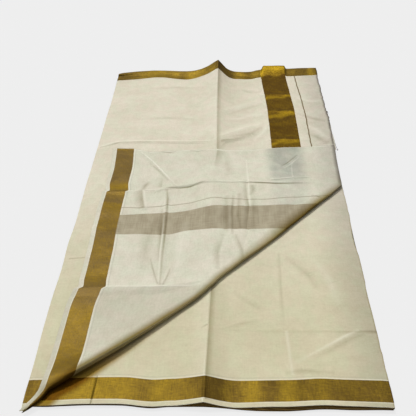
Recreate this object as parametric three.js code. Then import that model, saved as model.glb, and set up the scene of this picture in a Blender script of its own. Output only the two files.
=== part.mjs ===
// Kasavu saree: a cream cotton saree with gold borders, folded to a flat pile of nine layers.
// The near right corner of the top layer is turned back along a diagonal, so its wrong side shows.
// Millimetres. +X runs along the cloth's length, +Y across it from selvedge to selvedge, +Z is up.
// The pile lies on Z = 0, and the origin is under its middle.
import * as THREE from "three";

// Driving sizes.
const clothWidth = 1200; // selvedge to selvedge
const foldWidth = 600; // one fold of the cloth's length
const wall = 1.2; // cloth of each stretch that shows
const seamGap = 0.3; // between stretches that meet
const restGap = 1; // between stretches that lie on each other, with room for their facets
const bendGap = 1.2; // between the top layer's slanting edge and the bend that goes on from it
const stackHeight = 4.5; // the hidden layers, pressed flat
const hiddenFolds = 4; // folded edges that show round the hidden layers
const endLength = 180; // the cloth's end past the right fold
const borderWidth = 42; // gold band along each selvedge
const selvedgeWidth = 9; // cream strip outside the gold band
const foldShare = 0.7; // how much of the long folds shows in the hidden layers already
const secondInset = { left: 6, right: 2 }; // second layer's sides, in from the pile's own
const sideRoll = { width: 4, second: 0.2, topLeft: 1.6, topRight: 0.3 }; // folded sides roll down
const hemDrop = 3; // the top layer's far edge hangs over the pile's end by this
const edgeBlend = { near: 70, far: 60 }; // an askew edge straightens out over this much cloth
const liftedStrip = 60; // width of the top layer that lifts beside the diagonal fold
const bendSwell = { from: 110, to: 6, fade: 60 }; // the flap swells up to the bend between these
const bendShape = { spread: 1.45, leastReach: 2, openHalf: 0.7 }; // width of the bend for its height
const tuckRamp = { side: 20, near: 100, full: 150 }; // the top layer climbs onto the tucked end
const tuckPeep = { out: 5, back: -2, until: 350 }; // the tucked end past the right fold
const halfWidth = foldWidth / 2;
const halfLength = clothWidth / 2;
const tuckSide = halfWidth - endLength; // the tucked end's hidden side

// Levels where the pile is flat: the second layer's middle surface, and the step up to the next.
const secondLevel = stackHeight + 2 * seamGap + wall / 2;
const layerStep = wall + restGap;

// The diagonal fold: where the turned cloth bends, how high the bend stands, and how far the
// lower side lifts off the layer beneath it.
const foldLine = [
  { y: -600, x: -270, lift: 3, rise: 0 },
  { y: -570, x: -252, lift: 7, rise: 3 },
  { y: -532, x: -211, lift: 13, rise: 7 },
  { y: -500, x: -176, lift: 15, rise: 7 },
  { y: -432, x: -101, lift: 14, rise: 4 },
  { y: -362, x: -24, lift: 11, rise: 1 },
  { y: -320, x: 6, lift: 8, rise: 0 },
  { y: -236, x: 90, lift: 10, rise: 0 },
  { y: -143, x: 172, lift: 10, rise: 0 },
  { y: -38, x: 264, lift: 7, rise: 0 },
  { y: 0, x: 296, lift: 4, rise: 0 },
];

// The turned flap's selvedge, from the corner up to its cut end. It jogs at both old folds.
const flapSelvedge = [
  { y: -600, x: -276.5 },
  { y: -560, x: -271 },
  { y: -500, x: -268 },
  { y: -400, x: -269 },
  { y: -350, x: -261 },
  { y: -344, x: -255 },
  { y: -240, x: -257 },
  { y: -34, x: -257 },
  { y: -28, x: -251 },
  { y: 151, x: -257 },
];

// The flap's cut end, from its selvedge to the right edge, and the flap's last row.
const flapEndRow = 150;
const flapEnd = [
  { x: -260, y: 151 },
  { x: -175, y: 138 },
  { x: 0, y: 153 },
  { x: 215, y: 163 },
  { x: 300, y: 178 },
];

// The far edge of all layers, and how far their near edges creep out at the left corner.
const farEdge = [
  { x: -300, y: 556 },
  { x: -238, y: 573 },
  { x: -180, y: 583 },
  { x: -92, y: 573 },
  { x: -32, y: 584 },
  { x: 0, y: 597 },
  { x: 36, y: 578 },
  { x: 67, y: 576 },
  { x: 130, y: 594 },
  { x: 142, y: 608 },
  { x: 196, y: 608 },
  { x: 212, y: 600 },
  { x: 300, y: 606 },
];
const cornerCreep = 12;

// Long folds: a ridge from one end to the other, its height there, and its width on each side.
// The left side is on the left of someone who walks from the first end to the second. A sharp
// fold is a crease, and one with no sharpness is a round swell. First the ones of all layers.
const pileFolds = [
  { x0: -7, y0: -600, h0: 11, x1: -2, y1: -330, h1: 2, left: 52, right: 52, sharp: 1.4 },
  { x0: -2, y0: -330, h0: 2, x1: 0, y1: 180, h1: 3, left: 46, right: 40, sharp: 1.3 },
  { x0: 0, y0: 180, h0: 3, x1: 0, y1: 420, h1: 7, left: 60, right: 42, sharp: 1.4 },
  { x0: 0, y0: 420, h0: 7, x1: 0, y1: 600, h1: 20, left: 96, right: 52, sharp: 1.5 },
];
// The second layer lifts off the pile along its near right edge.
const secondFolds = [
  { x0: 150, y0: -600, h0: 6, x1: 270, y1: -600, h1: 7, left: 130, right: 130, sharp: 0 },
];
const topFolds = [
  { x0: 0, y0: 420, h0: 1, x1: 0, y1: 600, h1: 12, left: 96, right: 48, sharp: 1.5 },
  { x0: 138, y0: 600, h0: 10, x1: 200, y1: 600, h1: 10, left: 40, right: 40, sharp: 0 },
  { x0: -280, y0: 600, h0: 4, x1: 290, y1: 600, h1: 4, left: 48, right: 48, sharp: 0 },
  { x0: 26, y0: 190, h0: 5, x1: 140, y1: 266, h1: 3, left: 40, right: 44, sharp: 0 },
];
// On the flap: its two old folds, and a swell between them.
const flapFolds = [
  { x0: -254, y0: -31, h0: 5, x1: -114, y1: -22, h1: 5, left: 40, right: 26, sharp: 1.2 },
  { x0: -114, y0: -22, h0: 5, x1: -23, y1: 10, h1: 5, left: 40, right: 26, sharp: 1.2 },
  { x0: -23, y0: 10, h0: 5, x1: 177, y1: 23, h1: 4, left: 36, right: 26, sharp: 1.2 },
  { x0: -260, y0: -347, h0: 4, x1: -99, y1: -335, h1: 5, left: 36, right: 26, sharp: 1.2 },
  { x0: -99, y0: -335, h0: 5, x1: -30, y1: -322, h1: 4, left: 36, right: 26, sharp: 1.2 },
  { x0: 10, y0: -95, h0: 8, x1: 120, y1: -70, h1: 6, left: 110, right: 100, sharp: 0 },
];

// Value of a column at a place along a table, straight between its rows.
function along(table, key, column, at) {
  const last = table.length - 1;
  if (at <= table[0][key]) return table[0][column];
  if (at >= table[last][key]) return table[last][column];
  const i = table.findIndex((row) => row[key] > at);
  const a = table[i - 1];
  const b = table[i];
  return THREE.MathUtils.mapLinear(at, a[key], b[key], a[column], b[column]);
}

// Height that one long fold adds at a point.
function foldHeight(fold, x, y) {
  const dx = fold.x1 - fold.x0;
  const dy = fold.y1 - fold.y0;
  const length = Math.hypot(dx, dy);
  const share = ((x - fold.x0) * dx + (y - fold.y0) * dy) / (length * length);
  const t = THREE.MathUtils.clamp(share, 0, 1);
  const across = ((y - fold.y0) * dx - (x - fold.x0) * dy) / length;
  const past = (share - t) * length;
  const reach = across > 0 ? fold.left : fold.right;
  const near = 1 - Math.hypot(across, past) / reach;
  if (near <= 0) return 0;
  const height = THREE.MathUtils.lerp(fold.h0, fold.h1, t);
  const shape = fold.sharp ? Math.pow(near, fold.sharp) : THREE.MathUtils.smoothstep(near, 0, 1);
  return height * shape;
}

// The highest of several long folds, so that two that meet don't add up.
const highest = (folds, x, y) => Math.max(0, ...folds.map((fold) => foldHeight(fold, x, y)));

const foldX = (y) => along(foldLine, "y", "x", y);
const pileHeight = (x, y) => highest(pileFolds, x, y);
const secondHeight = (x, y) => secondLevel + pileHeight(x, y) + highest(secondFolds, x, y);

// Height that the cut end adds where it is tucked under the top layer's right side.
function tuckHeight(x, y) {
  const fromSide = THREE.MathUtils.smoothstep(x, tuckSide - tuckRamp.side, tuckSide);
  return layerStep * fromSide * THREE.MathUtils.smoothstep(y, tuckRamp.near, tuckRamp.full);
}

// Height of the top layer's middle surface. It lifts beside the lower end of the diagonal fold.
function topHeight(x, y) {
  const beside = THREE.MathUtils.smoothstep(x - foldX(y), -liftedStrip, 0);
  const rise = y < 0 ? along(foldLine, "y", "rise", y) * beside : 0;
  return secondHeight(x, y) + layerStep + tuckHeight(x, y) + highest(topFolds, x, y) + rise;
}

// Height of the flap's middle surface, which swells up to the bend at the diagonal.
function flapHeight(x, y) {
  const lift = along(foldLine, "y", "lift", Math.min(y, 0));
  const swell = THREE.MathUtils.smoothstep(x - foldX(Math.min(y, 0)), -bendSwell.from, -bendSwell.to);
  const soften = 1 - THREE.MathUtils.smoothstep(y, 0, bendSwell.fade);
  const folds = highest(flapFolds, x, y);
  return topHeight(x, y) + layerStep + Math.max((lift - layerStep) * swell * soften, folds);
}

// A closed wall round a grid of middle points: rows of points, with the face up on the left of
// someone who walks along a row.
function wallAround(rows) {
  const rowCount = rows.length;
  const columnCount = rows[0].length;
  const pick = (i, j) =>
    rows[THREE.MathUtils.clamp(i, 0, rowCount - 1)][THREE.MathUtils.clamp(j, 0, columnCount - 1)];
  const position = [];
  for (const side of [1, -1])
    for (let i = 0; i < rowCount; i++)
      for (let j = 0; j < columnCount; j++) {
        const alongRow = pick(i, j + 1).clone().sub(pick(i, j - 1));
        const acrossRows = pick(i + 1, j).clone().sub(pick(i - 1, j));
        const normal = alongRow.cross(acrossRows).normalize();
        const point = pick(i, j).clone().addScaledVector(normal, (side * wall) / 2);
        position.push(point.x, point.y, point.z);
      }
  const upper = (i, j) => i * columnCount + j;
  const lower = (i, j) => rowCount * columnCount + i * columnCount + j;
  const index = [];
  const quad = (a, b, c, d) => index.push(a, b, c, a, c, d);
  for (let i = 0; i < rowCount - 1; i++)
    for (let j = 0; j < columnCount - 1; j++) {
      quad(upper(i, j), upper(i, j + 1), upper(i + 1, j + 1), upper(i + 1, j));
      quad(lower(i, j), lower(i + 1, j), lower(i + 1, j + 1), lower(i, j + 1));
    }
  for (let j = 0; j < columnCount - 1; j++) {
    const end = rowCount - 1;
    quad(lower(0, j), lower(0, j + 1), upper(0, j + 1), upper(0, j));
    quad(lower(end, j + 1), lower(end, j), upper(end, j), upper(end, j + 1));
  }
  for (let i = 0; i < rowCount - 1; i++) {
    const end = columnCount - 1;
    quad(lower(i + 1, 0), lower(i, 0), upper(i, 0), upper(i + 1, 0));
    quad(lower(i, end), lower(i + 1, end), upper(i + 1, end), upper(i, end));
  }
  return solid(position, index);
}

function solid(position, index) {
  const geometry = new THREE.BufferGeometry();
  geometry.setAttribute("position", new THREE.Float32BufferAttribute(position, 3));
  geometry.setIndex(index);
  geometry.computeVertexNormals();
  return geometry;
}

// Evenly spaced numbers, ends included.
const spaced = (from, to, steps) =>
  Array.from({ length: steps + 1 }, (_, i) => THREE.MathUtils.lerp(from, to, i / steps));

// Rows across the cloth: closer at the borders, where the edges curl and lift.
const nearRows = [
  -halfLength,
  -halfLength + selvedgeWidth,
  -halfLength + selvedgeWidth + borderWidth / 2,
  -halfLength + selvedgeWidth + borderWidth,
];
const farRows = nearRows.map((y) => -y).reverse();
const fieldRows = spaced(nearRows[3] + 26, farRows[0] - 24, 25);
const clothRows = [...nearRows, ...fieldRows, ...farRows];

// Columns of a row: closer at the centre crease and at the folded edges.
function rowColumns(left, right) {
  const width = right - left;
  const crease = Math.min(0, Math.max(right - 14, right - width / 4));
  const rim = Math.min(3, width / 24);
  const beside = Math.min(16, width / 16, (right - crease) / 3);
  return [
    left,
    left + rim,
    ...spaced(left + 4 * rim, crease - beside, 5),
    crease,
    ...spaced(crease + beside, right - 2 * rim, 5),
    right,
  ];
}

// Where a point across the cloth ends up: every layer's near and far edges run a little askew.
function settled(x, y) {
  const corner = 1 - THREE.MathUtils.smoothstep(x, -halfWidth, -halfWidth / 2);
  const near = 1 - THREE.MathUtils.smoothstep(y, -halfLength, -halfLength + edgeBlend.near);
  const far = THREE.MathUtils.smoothstep(y, halfLength - edgeBlend.far, halfLength);
  return y - cornerCreep * corner * near - far * (halfLength - along(farEdge, "x", "y", x));
}

// How far a folded edge rolls down, at a distance in from it.
const edgeRoll = (inside, depth) => -depth * Math.pow(Math.max(0, 1 - inside / sideRoll.width), 2);

// The second layer, whose near right half shows below the diagonal fold.
function secondStretch() {
  const right = halfWidth - secondInset.right;
  const rows = clothRows.map((y) =>
    rowColumns(-halfWidth + secondInset.left, right).map((x) => {
      const roll = edgeRoll(right - x, sideRoll.second);
      return new THREE.Vector3(x, settled(x, y), secondHeight(x, y) + roll);
    }),
  );
  return wallAround(rows);
}

// Where the top layer's right side ends: at its fold, or where it goes round the diagonal bend.
function topRight(y) {
  if (y > 0) return halfWidth;
  const bend = bendAt(y);
  return bend.x - bend.reach - bendGap;
}

// The top layer with its face up: all that the turned corner leaves.
function topStretch() {
  const rows = clothRows.map((y) =>
    rowColumns(-halfWidth, topRight(y)).map((x) => {
      const left = edgeRoll(x + halfWidth, sideRoll.topLeft);
      const right = y > 0 ? edgeRoll(halfWidth - x, sideRoll.topRight) : 0;
      const hem = y >= halfLength ? hemDrop : 0;
      const z = topHeight(x, y) + left + right - hem;
      return new THREE.Vector3(x, settled(x, y), z);
    }),
  );
  return wallAround(rows);
}

// The bend at the diagonal at one row: its outermost middle point, half its height, and how far
// it reaches across the row.
function bendAt(y) {
  const low = Math.min(y, 0);
  const half = along(foldLine, "y", "lift", low) / 2;
  return { x: foldX(low), half, reach: Math.max(half * bendShape.spread, bendShape.leastReach) };
}

// The turned flap with its wrong side up, and the bend that joins it to the top layer.
function turnedFlap() {
  const bendSteps = 7;
  const heights = [...spaced(2 - halfLength, -28, 23), -8, ...spaced(10, flapEndRow, 5)];
  const rows = heights.map((y) => {
    const bend = bendAt(y);
    const left = along(flapSelvedge, "y", "x", y);
    const right = bend.x - bend.reach;
    const flat = rowColumns(left, Math.max(right, left + 3)).map((x) => {
      const lieY = y > 0 ? (y / flapEndRow) * along(flapEnd, "x", "y", x) : settled(x, y);
      return new THREE.Vector3(x, lieY, flapHeight(x, lieY));
    });
    const start = flat[flat.length - 1];
    const closed = y < -20; // further up, the bend runs out over the right edge
    const curlEnd = closed ? -Math.PI / 2 : 0;
    const half = closed ? (start.z - topHeight(start.x, y)) / 2 : bendShape.openHalf;
    const curl = spaced(Math.PI / 2, curlEnd, bendSteps).slice(1);
    const round = curl.map(
      (angle) =>
        new THREE.Vector3(
          start.x + bend.reach * Math.cos(angle),
          start.y,
          start.z - half + half * Math.sin(angle),
        ),
    );
    return [...flat, ...round];
  });
  return wallAround(rows);
}

// The cloth's cut end where it is tucked under the top layer, peeping out at the right edge.
function tuckedEnd() {
  const heights = [156, 200, 250, 300, 345, 360, 440, 520, 575];
  const rows = heights.map((y) => {
    const out = y < tuckPeep.until ? tuckPeep.out : tuckPeep.back;
    return spaced(tuckSide + 6, halfWidth + out, 8).map(
      (x) => new THREE.Vector3(x, y, secondHeight(x, y) + wall + seamGap),
    );
  });
  return wallAround(rows);
}

// The hidden layers as one solid: a flat underside, and a groove between each two folded edges.
function hiddenLayers() {
  const sinkIn = 2; // the solid's edge stays this far inside the cloth above
  const groove = 1.5;
  const columns = spaced(-halfWidth + sinkIn, halfWidth - sinkIn, 14);
  const rows = spaced(-halfLength + sinkIn, halfLength - sinkIn, 26);
  const topAt = (x, y) => stackHeight + foldShare * pileHeight(x, y);
  const rim = [
    ...columns.map((x) => [x, rows[0]]),
    ...rows.slice(1).map((y) => [columns[columns.length - 1], y]),
    ...columns.slice(0, -1).reverse().map((x) => [x, rows[rows.length - 1]]),
    ...rows.slice(1, -1).reverse().map((y) => [columns[0], y]),
  ];
  const inset = ([x, y], by) => [
    THREE.MathUtils.clamp(x, columns[0] + by, columns[columns.length - 1] - by),
    THREE.MathUtils.clamp(y, rows[0] + by, rows[rows.length - 1] - by),
  ];
  const levels = spaced(0, 1, 2 * hiddenFolds);
  const position = [];
  const index = [];
  for (const [step, level] of levels.entries())
    for (const corner of rim) {
      const [x, y] = inset(corner, step % 2 ? 0 : groove);
      position.push(x, settled(x, y), level * topAt(x, y));
    }
  const count = rim.length;
  for (let k = 0; k < levels.length - 1; k++)
    for (let i = 0; i < count; i++) {
      const a = k * count + i;
      const b = k * count + ((i + 1) % count);
      index.push(a, b, b + count, a, b + count, a + count);
    }
  const contour = rim.map((corner) => new THREE.Vector2(...inset(corner, groove)));
  for (const [a, b, c] of THREE.ShapeUtils.triangulateShape(contour, [])) index.push(a, c, b);
  const topRim = new Map(rim.map(([x, y], i) => [`${x},${y}`, (levels.length - 1) * count + i]));
  const topPoint = (i, j) => {
    const key = `${columns[j]},${rows[i]}`;
    if (!topRim.has(key)) {
      topRim.set(key, position.length / 3);
      const [x, y] = [columns[j], rows[i]];
      position.push(x, settled(x, y), topAt(x, y));
    }
    return topRim.get(key);
  };
  for (let i = 0; i < rows.length - 1; i++)
    for (let j = 0; j < columns.length - 1; j++) {
      const [a, b] = [topPoint(i, j), topPoint(i, j + 1)];
      const [c, d] = [topPoint(i + 1, j + 1), topPoint(i + 1, j)];
      index.push(a, b, c, a, c, d);
    }
  return solid(position, index);
}

const cotton = (colour) =>
  new THREE.MeshStandardMaterial({ color: colour, roughness: 0.9, metalness: 0, side: THREE.DoubleSide });

const stretches = [
  { name: "hidden_layers", geometry: hiddenLayers(), colour: 0xcfc8ab },
  { name: "second_stretch", geometry: secondStretch(), colour: 0xd9d3bb },
  { name: "tucked_end", geometry: tuckedEnd(), colour: 0xd9d3bb },
  { name: "top_stretch", geometry: topStretch(), colour: 0xddd8c4 },
  { name: "turned_flap", geometry: turnedFlap(), colour: 0xd6d2be },
];

const saree = new THREE.Group();
for (const { name, geometry, colour } of stretches) {
  const mesh = new THREE.Mesh(geometry, cotton(colour));
  mesh.name = name;
  saree.add(mesh);
}

// The origin goes under the middle of the pile's own box.
const box = new THREE.Box3().setFromObject(saree);
const middle = box.getCenter(new THREE.Vector3());
for (const mesh of saree.children) mesh.position.set(-middle.x, -middle.y, -box.min.z);

export default saree;
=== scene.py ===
"""Kasavu saree: cream cotton with gold borders, folded to a flat pile, one corner turned back.

The tables are in millimetres, in the pile's own frame: x runs along the cloth's length with 0 at the
centre crease, y runs across the cloth with 0 half way between its selvedges, and z is up from the
surface that the pile lies on. MM turns them into metres, and PLACE moves them into the frame.
"""

from __future__ import annotations

import logging
import math
from dataclasses import dataclass
from enum import Enum
from typing import NamedTuple, Sequence

import bmesh
import bpy
import numpy as np
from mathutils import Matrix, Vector


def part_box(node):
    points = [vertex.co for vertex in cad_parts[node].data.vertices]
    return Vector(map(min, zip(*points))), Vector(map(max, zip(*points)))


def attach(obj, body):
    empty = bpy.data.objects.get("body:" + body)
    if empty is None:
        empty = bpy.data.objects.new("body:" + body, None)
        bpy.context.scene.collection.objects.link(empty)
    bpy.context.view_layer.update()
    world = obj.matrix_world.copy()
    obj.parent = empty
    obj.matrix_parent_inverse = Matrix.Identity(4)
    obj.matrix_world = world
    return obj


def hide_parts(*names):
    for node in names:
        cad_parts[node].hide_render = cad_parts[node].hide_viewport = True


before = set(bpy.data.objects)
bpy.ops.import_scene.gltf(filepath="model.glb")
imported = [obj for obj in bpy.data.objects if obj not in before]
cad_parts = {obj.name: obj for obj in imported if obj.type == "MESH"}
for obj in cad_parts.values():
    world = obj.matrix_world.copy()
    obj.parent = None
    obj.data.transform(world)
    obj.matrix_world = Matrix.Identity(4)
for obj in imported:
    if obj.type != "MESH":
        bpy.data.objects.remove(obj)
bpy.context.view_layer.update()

LOG = logging.getLogger("saree")
MM = 0.001
HALF_WIDTH = 300.0
HALF_LENGTH = 600.0
CLOTH_WIDTH = 1200.0
WALL = 1.2
SEAM_GAP = 0.3
LAYER_STEP = 2.2
STACK_HEIGHT = 4.5
SECOND_LEVEL = 5.7
CLOTH_THICKNESS = 0.5
SELVEDGE = 9.5
BEND_SPREAD = 0.725
LEAST_REACH = 2.0
LEAST_HEIGHT = 0.6
TUCK_RIGHT, TUCK_NEAR, TUCK_LEFT = 305.0, 156.0, 126.0
FINE_STEPS = 6001
WAVE_KNOTS = 512
WAVE_START = 200.0
SWELL_KNOTS = 96

tuck_low, tuck_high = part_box("tucked_end")
PLACE = Vector((tuck_high[0] - TUCK_RIGHT * MM, tuck_low[1] - TUCK_NEAR * MM, 0.0))

Array = np.ndarray
Socket = bpy.types.NodeSocket
Tree = bpy.types.NodeTree
Piece = bpy.types.Object
Material = bpy.types.Material
Rgb = tuple[int, int, int]
Rgba = tuple[float, float, float, float]
Span = tuple[float, float]
Triples = tuple[tuple[float, float, float], ...]


# ---------------------------------------------------------------- numbers


def eased(share: Array) -> Array:
    """Eases a share between 0 and 1, so that it leaves and arrives level."""
    return share * share * (3.0 - 2.0 * share)


def smooth(at: Array, low: float, high: float) -> Array:
    """A smooth step from 0 at low to 1 at high."""
    return eased(np.clip((at - low) / (high - low), 0.0, 1.0))


def flowing(at: Array, places: Sequence[float], values: Sequence[float]) -> Array:
    """Reads a smooth curve through a short table, with no overshoot between its rows.

    Args:
        at: Where to read the curve.
        places: The table's places, rising.
        values: The curve's value at each place.

    Returns:
        The curve's value at each point, held level past both ends.
    """
    x = np.asarray(places, dtype=float)
    y = np.asarray(values, dtype=float)
    secant = np.diff(y) / np.diff(x)
    slope = np.concatenate([secant[:1], np.zeros(len(x) - 2), secant[-1:]])
    before, after = secant[:-1], secant[1:]
    same = before * after > 0.0
    slope[1:-1] = np.where(same, 2.0 * before * after / np.where(same, before + after, 1.0), 0.0)
    at = np.clip(at, x[0], x[-1])
    i = np.clip(np.searchsorted(x, at, side="right") - 1, 0, len(x) - 2)
    width = x[i + 1] - x[i]
    t = (at - x[i]) / width
    level = (2 * t**3 - 3 * t**2 + 1) * y[i] + (3 * t**2 - 2 * t**3) * y[i + 1]
    return level + ((t**3 - 2 * t**2 + t) * slope[i] + (t**3 - t**2) * slope[i + 1]) * width


def graded(low: float, high: float, steps: int, spots: Sequence[tuple[float, float, float]]) -> Array:
    """Spaces numbers from low to high, closer together near each spot.

    Args:
        low: First number.
        high: Last number.
        steps: How many gaps there are.
        spots: Middle, half width and extra density of each spot.

    Returns:
        The numbers, steps + 1 of them.
    """
    fine = np.linspace(low, high, FINE_STEPS)
    density = np.ones_like(fine)
    for middle, half, extra in spots:
        density += extra * np.exp(-(((fine - middle) / half) ** 2))
    total = np.concatenate([[0.0], np.cumsum((density[1:] + density[:-1]) / 2)])
    return np.interp(np.linspace(0.0, total[-1], steps + 1), total, fine)


def wander(at: Array, seed: int, pitch: float) -> Array:
    """A smooth uneven wave, the same on each run.

    Args:
        at: Places along a line, in millimetres.
        seed: Which wave it is.
        pitch: How far apart its knots are.

    Returns:
        The wave at each place, between about -1 and 1.
    """
    knots = np.random.default_rng(seed).uniform(-1.0, 1.0, WAVE_KNOTS)
    place = np.asarray(at, dtype=float) / pitch + WAVE_START
    i = np.floor(place).astype(int) % (WAVE_KNOTS - 1)
    t = eased(place - np.floor(place))
    return knots[i] * (1.0 - t) + knots[i + 1] * t


def rumple(x: Array, y: Array, seed: int, pitch: float) -> Array:
    """Soft uneven swells over the cloth, the same on each run.

    Args:
        x: Places along the cloth.
        y: Places across the cloth.
        seed: Which swells they are.
        pitch: How far apart their knots are.

    Returns:
        The swells at each point, between 0 and 1.
    """
    knots = np.random.default_rng(seed).uniform(0.0, 1.0, (SWELL_KNOTS, SWELL_KNOTS))
    across, down = x / pitch + SWELL_KNOTS / 2, y / pitch + SWELL_KNOTS / 2
    i = np.floor(across).astype(int) % (SWELL_KNOTS - 1)
    j = np.floor(down).astype(int) % (SWELL_KNOTS - 1)
    s, t = eased(across - np.floor(across)), eased(down - np.floor(down))
    low = knots[i, j] * (1.0 - s) + knots[i + 1, j] * s
    high = knots[i, j + 1] * (1.0 - s) + knots[i + 1, j + 1] * s
    return low * (1.0 - t) + high * t


# ---------------------------------------------------------------- tables


class BendRow(NamedTuple):
    """The diagonal fold at one place: how high it stands, and how far its lower side lifts."""

    y: float
    x: float
    lift: float
    rise: float


class EdgeRow(NamedTuple):
    """One point of an edge: where along it, and the edge's place there."""

    at: float
    edge: float


class FlapRow(NamedTuple):
    """Where the flap's woven and folded lines lie at one x: their y, from the near one on."""

    x: float
    crease: float
    band_low: float
    band_high: float
    line: float
    old_fold: float
    end: float


BEND = (
    BendRow(-628, -296, 4, 0),
    BendRow(-616, -280, 5, 0),
    BendRow(-603, -268, 5, 0),
    BendRow(-587, -258, 6, 1),
    BendRow(-576, -242, 8, 3),
    BendRow(-563, -226, 10, 5),
    BendRow(-547, -207, 10, 6),
    BendRow(-529, -187, 9, 5),
    BendRow(-502, -155, 8, 4),
    BendRow(-472, -124, 7, 3),
    BendRow(-441, -91, 6, 2),
    BendRow(-406, -56, 5.5, 1),
    BendRow(-371, -21, 5, 0),
    BendRow(-343, 1, 5, 0),
    BendRow(-320, 17, 5, 0),
    BendRow(-276, 56, 5, 0),
    BendRow(-233, 97, 5, 0),
    BendRow(-185, 141, 5, 0),
    BendRow(-130, 188, 5, 0),
    BendRow(-74, 237, 4.5, 0),
    BendRow(-31, 275, 4, 0),
    BendRow(0, 296, 4, 0),
    BendRow(75, 298, 4, 0),
    BendRow(190, 301, 4, 0),
)
FLAP_SELVEDGE = (
    EdgeRow(-627, -300),
    EdgeRow(-612, -290),
    EdgeRow(-600, -281),
    EdgeRow(-588, -275),
    EdgeRow(-560, -271.5),
    EdgeRow(-471, -270.5),
    EdgeRow(-411, -269.5),
    EdgeRow(-362, -262),
    EdgeRow(-355, -254.5),
    EdgeRow(-330, -256.5),
    EdgeRow(-251, -256.5),
    EdgeRow(-161, -258.5),
    EdgeRow(-47, -256.5),
    EdgeRow(-42, -250.5),
    EdgeRow(-14, -253.5),
    EdgeRow(43, -252.5),
    EdgeRow(138, -257.5),
)
NEAR_EDGE = (
    EdgeRow(-300, -13),
    EdgeRow(-268, -13),
    EdgeRow(-237, -11),
    EdgeRow(-189, -8),
    EdgeRow(-141, -7),
    EdgeRow(-92, -11),
    EdgeRow(-61, -8),
    EdgeRow(-7, -7),
    EdgeRow(19, -8),
    EdgeRow(55, -9),
    EdgeRow(122, -8),
    EdgeRow(191, -3),
    EdgeRow(244, -4),
    EdgeRow(298, -5),
)
FAR_EDGE = (
    EdgeRow(-300, 556),
    EdgeRow(-238, 573),
    EdgeRow(-180, 583),
    EdgeRow(-92, 573),
    EdgeRow(-32, 584),
    EdgeRow(0, 597),
    EdgeRow(36, 578),
    EdgeRow(67, 576),
    EdgeRow(132, 590),
    EdgeRow(138, 598),
    EdgeRow(200, 600),
    EdgeRow(206, 598),
    EdgeRow(300, 606),
)
OPEN_RIGHT = (
    EdgeRow(170, 300),
    EdgeRow(220, 301.5),
    EdgeRow(345, 303),
    EdgeRow(400, 301.5),
    EdgeRow(600, 299.5),
)
PALLU_DRIFT = (
    EdgeRow(146, -3),
    EdgeRow(225, -2.5),
    EdgeRow(340, -1.5),
    EdgeRow(443, 3.5),
    EdgeRow(539, 8.5),
    EdgeRow(620, 10),
)
FLAP_LINES = (
    FlapRow(-290, -361, -196, -128, -101, -46, 138),
    FlapRow(-250, -361, -196, -128, -101, -46, 138),
    FlapRow(-206, -360, -196, -128, -101, -43, 138),
    FlapRow(-160, -355, -195, -125, -103, -41, 124),
    FlapRow(-100, -349, -194, -120, -93, -30, 132),
    FlapRow(-50, -343, -178, -111, -84, -14, 136),
    FlapRow(0, -336, -174, -102, -72, -7, 139),
    FlapRow(100, -330, -172, -94, -72, -3, 142),
    FlapRow(200, -330, -168, -84, -57, 5, 150),
    FlapRow(300, -330, -165, -75, -45, -6, 168),
)
FLAP_LENGTHS = (0.0, 138.0, 212.5, 240.0, 300.0, 480.0)


# ---------------------------------------------------------------- folds


@dataclass(frozen=True)
class Ridge:
    """A long fold along a line of points, each with its height.

    The left side is on the left of someone who walks along it. A sharp fold is a crease, and one
    with no sharpness is a round swell.
    """

    points: Triples
    left: float
    right: float
    sharp: float = 0.0

    def height(self, x: Array, y: Array) -> Array:
        """Finds how far this fold lifts the cloth.

        Args:
            x: Places along the cloth.
            y: Places across the cloth.

        Returns:
            The height at each point.
        """
        best = np.zeros(np.shape(x))
        for (ax, ay, ah), (bx, by, bh) in zip(self.points, self.points[1:]):
            dx, dy = bx - ax, by - ay
            length = math.hypot(dx, dy)
            share = ((x - ax) * dx + (y - ay) * dy) / length**2
            t = np.clip(share, 0.0, 1.0)
            across = ((y - ay) * dx - (x - ax) * dy) / length
            reach = np.where(across > 0, self.left, self.right)
            near = np.clip(1.0 - np.hypot(across, (share - t) * length) / reach, 0.0, 1.0)
            shape = near**self.sharp if self.sharp else eased(near)
            best = np.maximum(best, (ah + (bh - ah) * t) * shape)
        return best


@dataclass(frozen=True)
class Crease:
    """A fine crease along a line of points: a ridge, or a trough where its height is below 0."""

    points: tuple[Span, ...]
    height: float
    left: float
    right: float
    fade: float = 0.2

    def relief(self, x: Array, y: Array) -> Array:
        """Finds how far this crease lifts the cloth. It dies out towards both ends.

        Args:
            x: Places along the cloth.
            y: Places across the cloth.

        Returns:
            The height at each point, below 0 in a trough.
        """
        total = sum(math.dist(a, b) for a, b in zip(self.points, self.points[1:]))
        best = np.full(np.shape(x), 1e9)
        added = np.zeros(np.shape(x))
        gone = 0.0
        for (ax, ay), (bx, by) in zip(self.points, self.points[1:]):
            dx, dy = bx - ax, by - ay
            length = math.hypot(dx, dy)
            t = np.clip(((x - ax) * dx + (y - ay) * dy) / length**2, 0.0, 1.0)
            away = np.hypot(x - ax - t * dx, y - ay - t * dy)
            reach = np.where((y - ay) * dx - (x - ax) * dy > 0, self.left, self.right)
            near = np.clip(1.0 - away / reach, 0.0, 1.0)
            along = (gone + t * length) / total
            ends = smooth(along, -0.01, self.fade) * (1.0 - smooth(along, 1.0 - self.fade, 1.01))
            added = np.where(away < best, self.height * near**1.7 * ends, added)
            best = np.minimum(best, away)
            gone += length
        return added


@dataclass(frozen=True)
class Pressed:
    """A thin crease too fine for the mesh, pressed into the finish along a line of points.

    Each point has a height in millimetres, below 0 for a trough. Besides the bump, a ridge gets a painted
    highlight and a trough painted shade.
    """

    points: Triples
    left: float
    right: float


def highest(ridges: Sequence[Ridge], x: Array, y: Array) -> Array:
    """The highest of several long folds, so that two that meet don't add up."""
    return np.maximum.reduce([ridge.height(x, y) for ridge in ridges])


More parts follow.
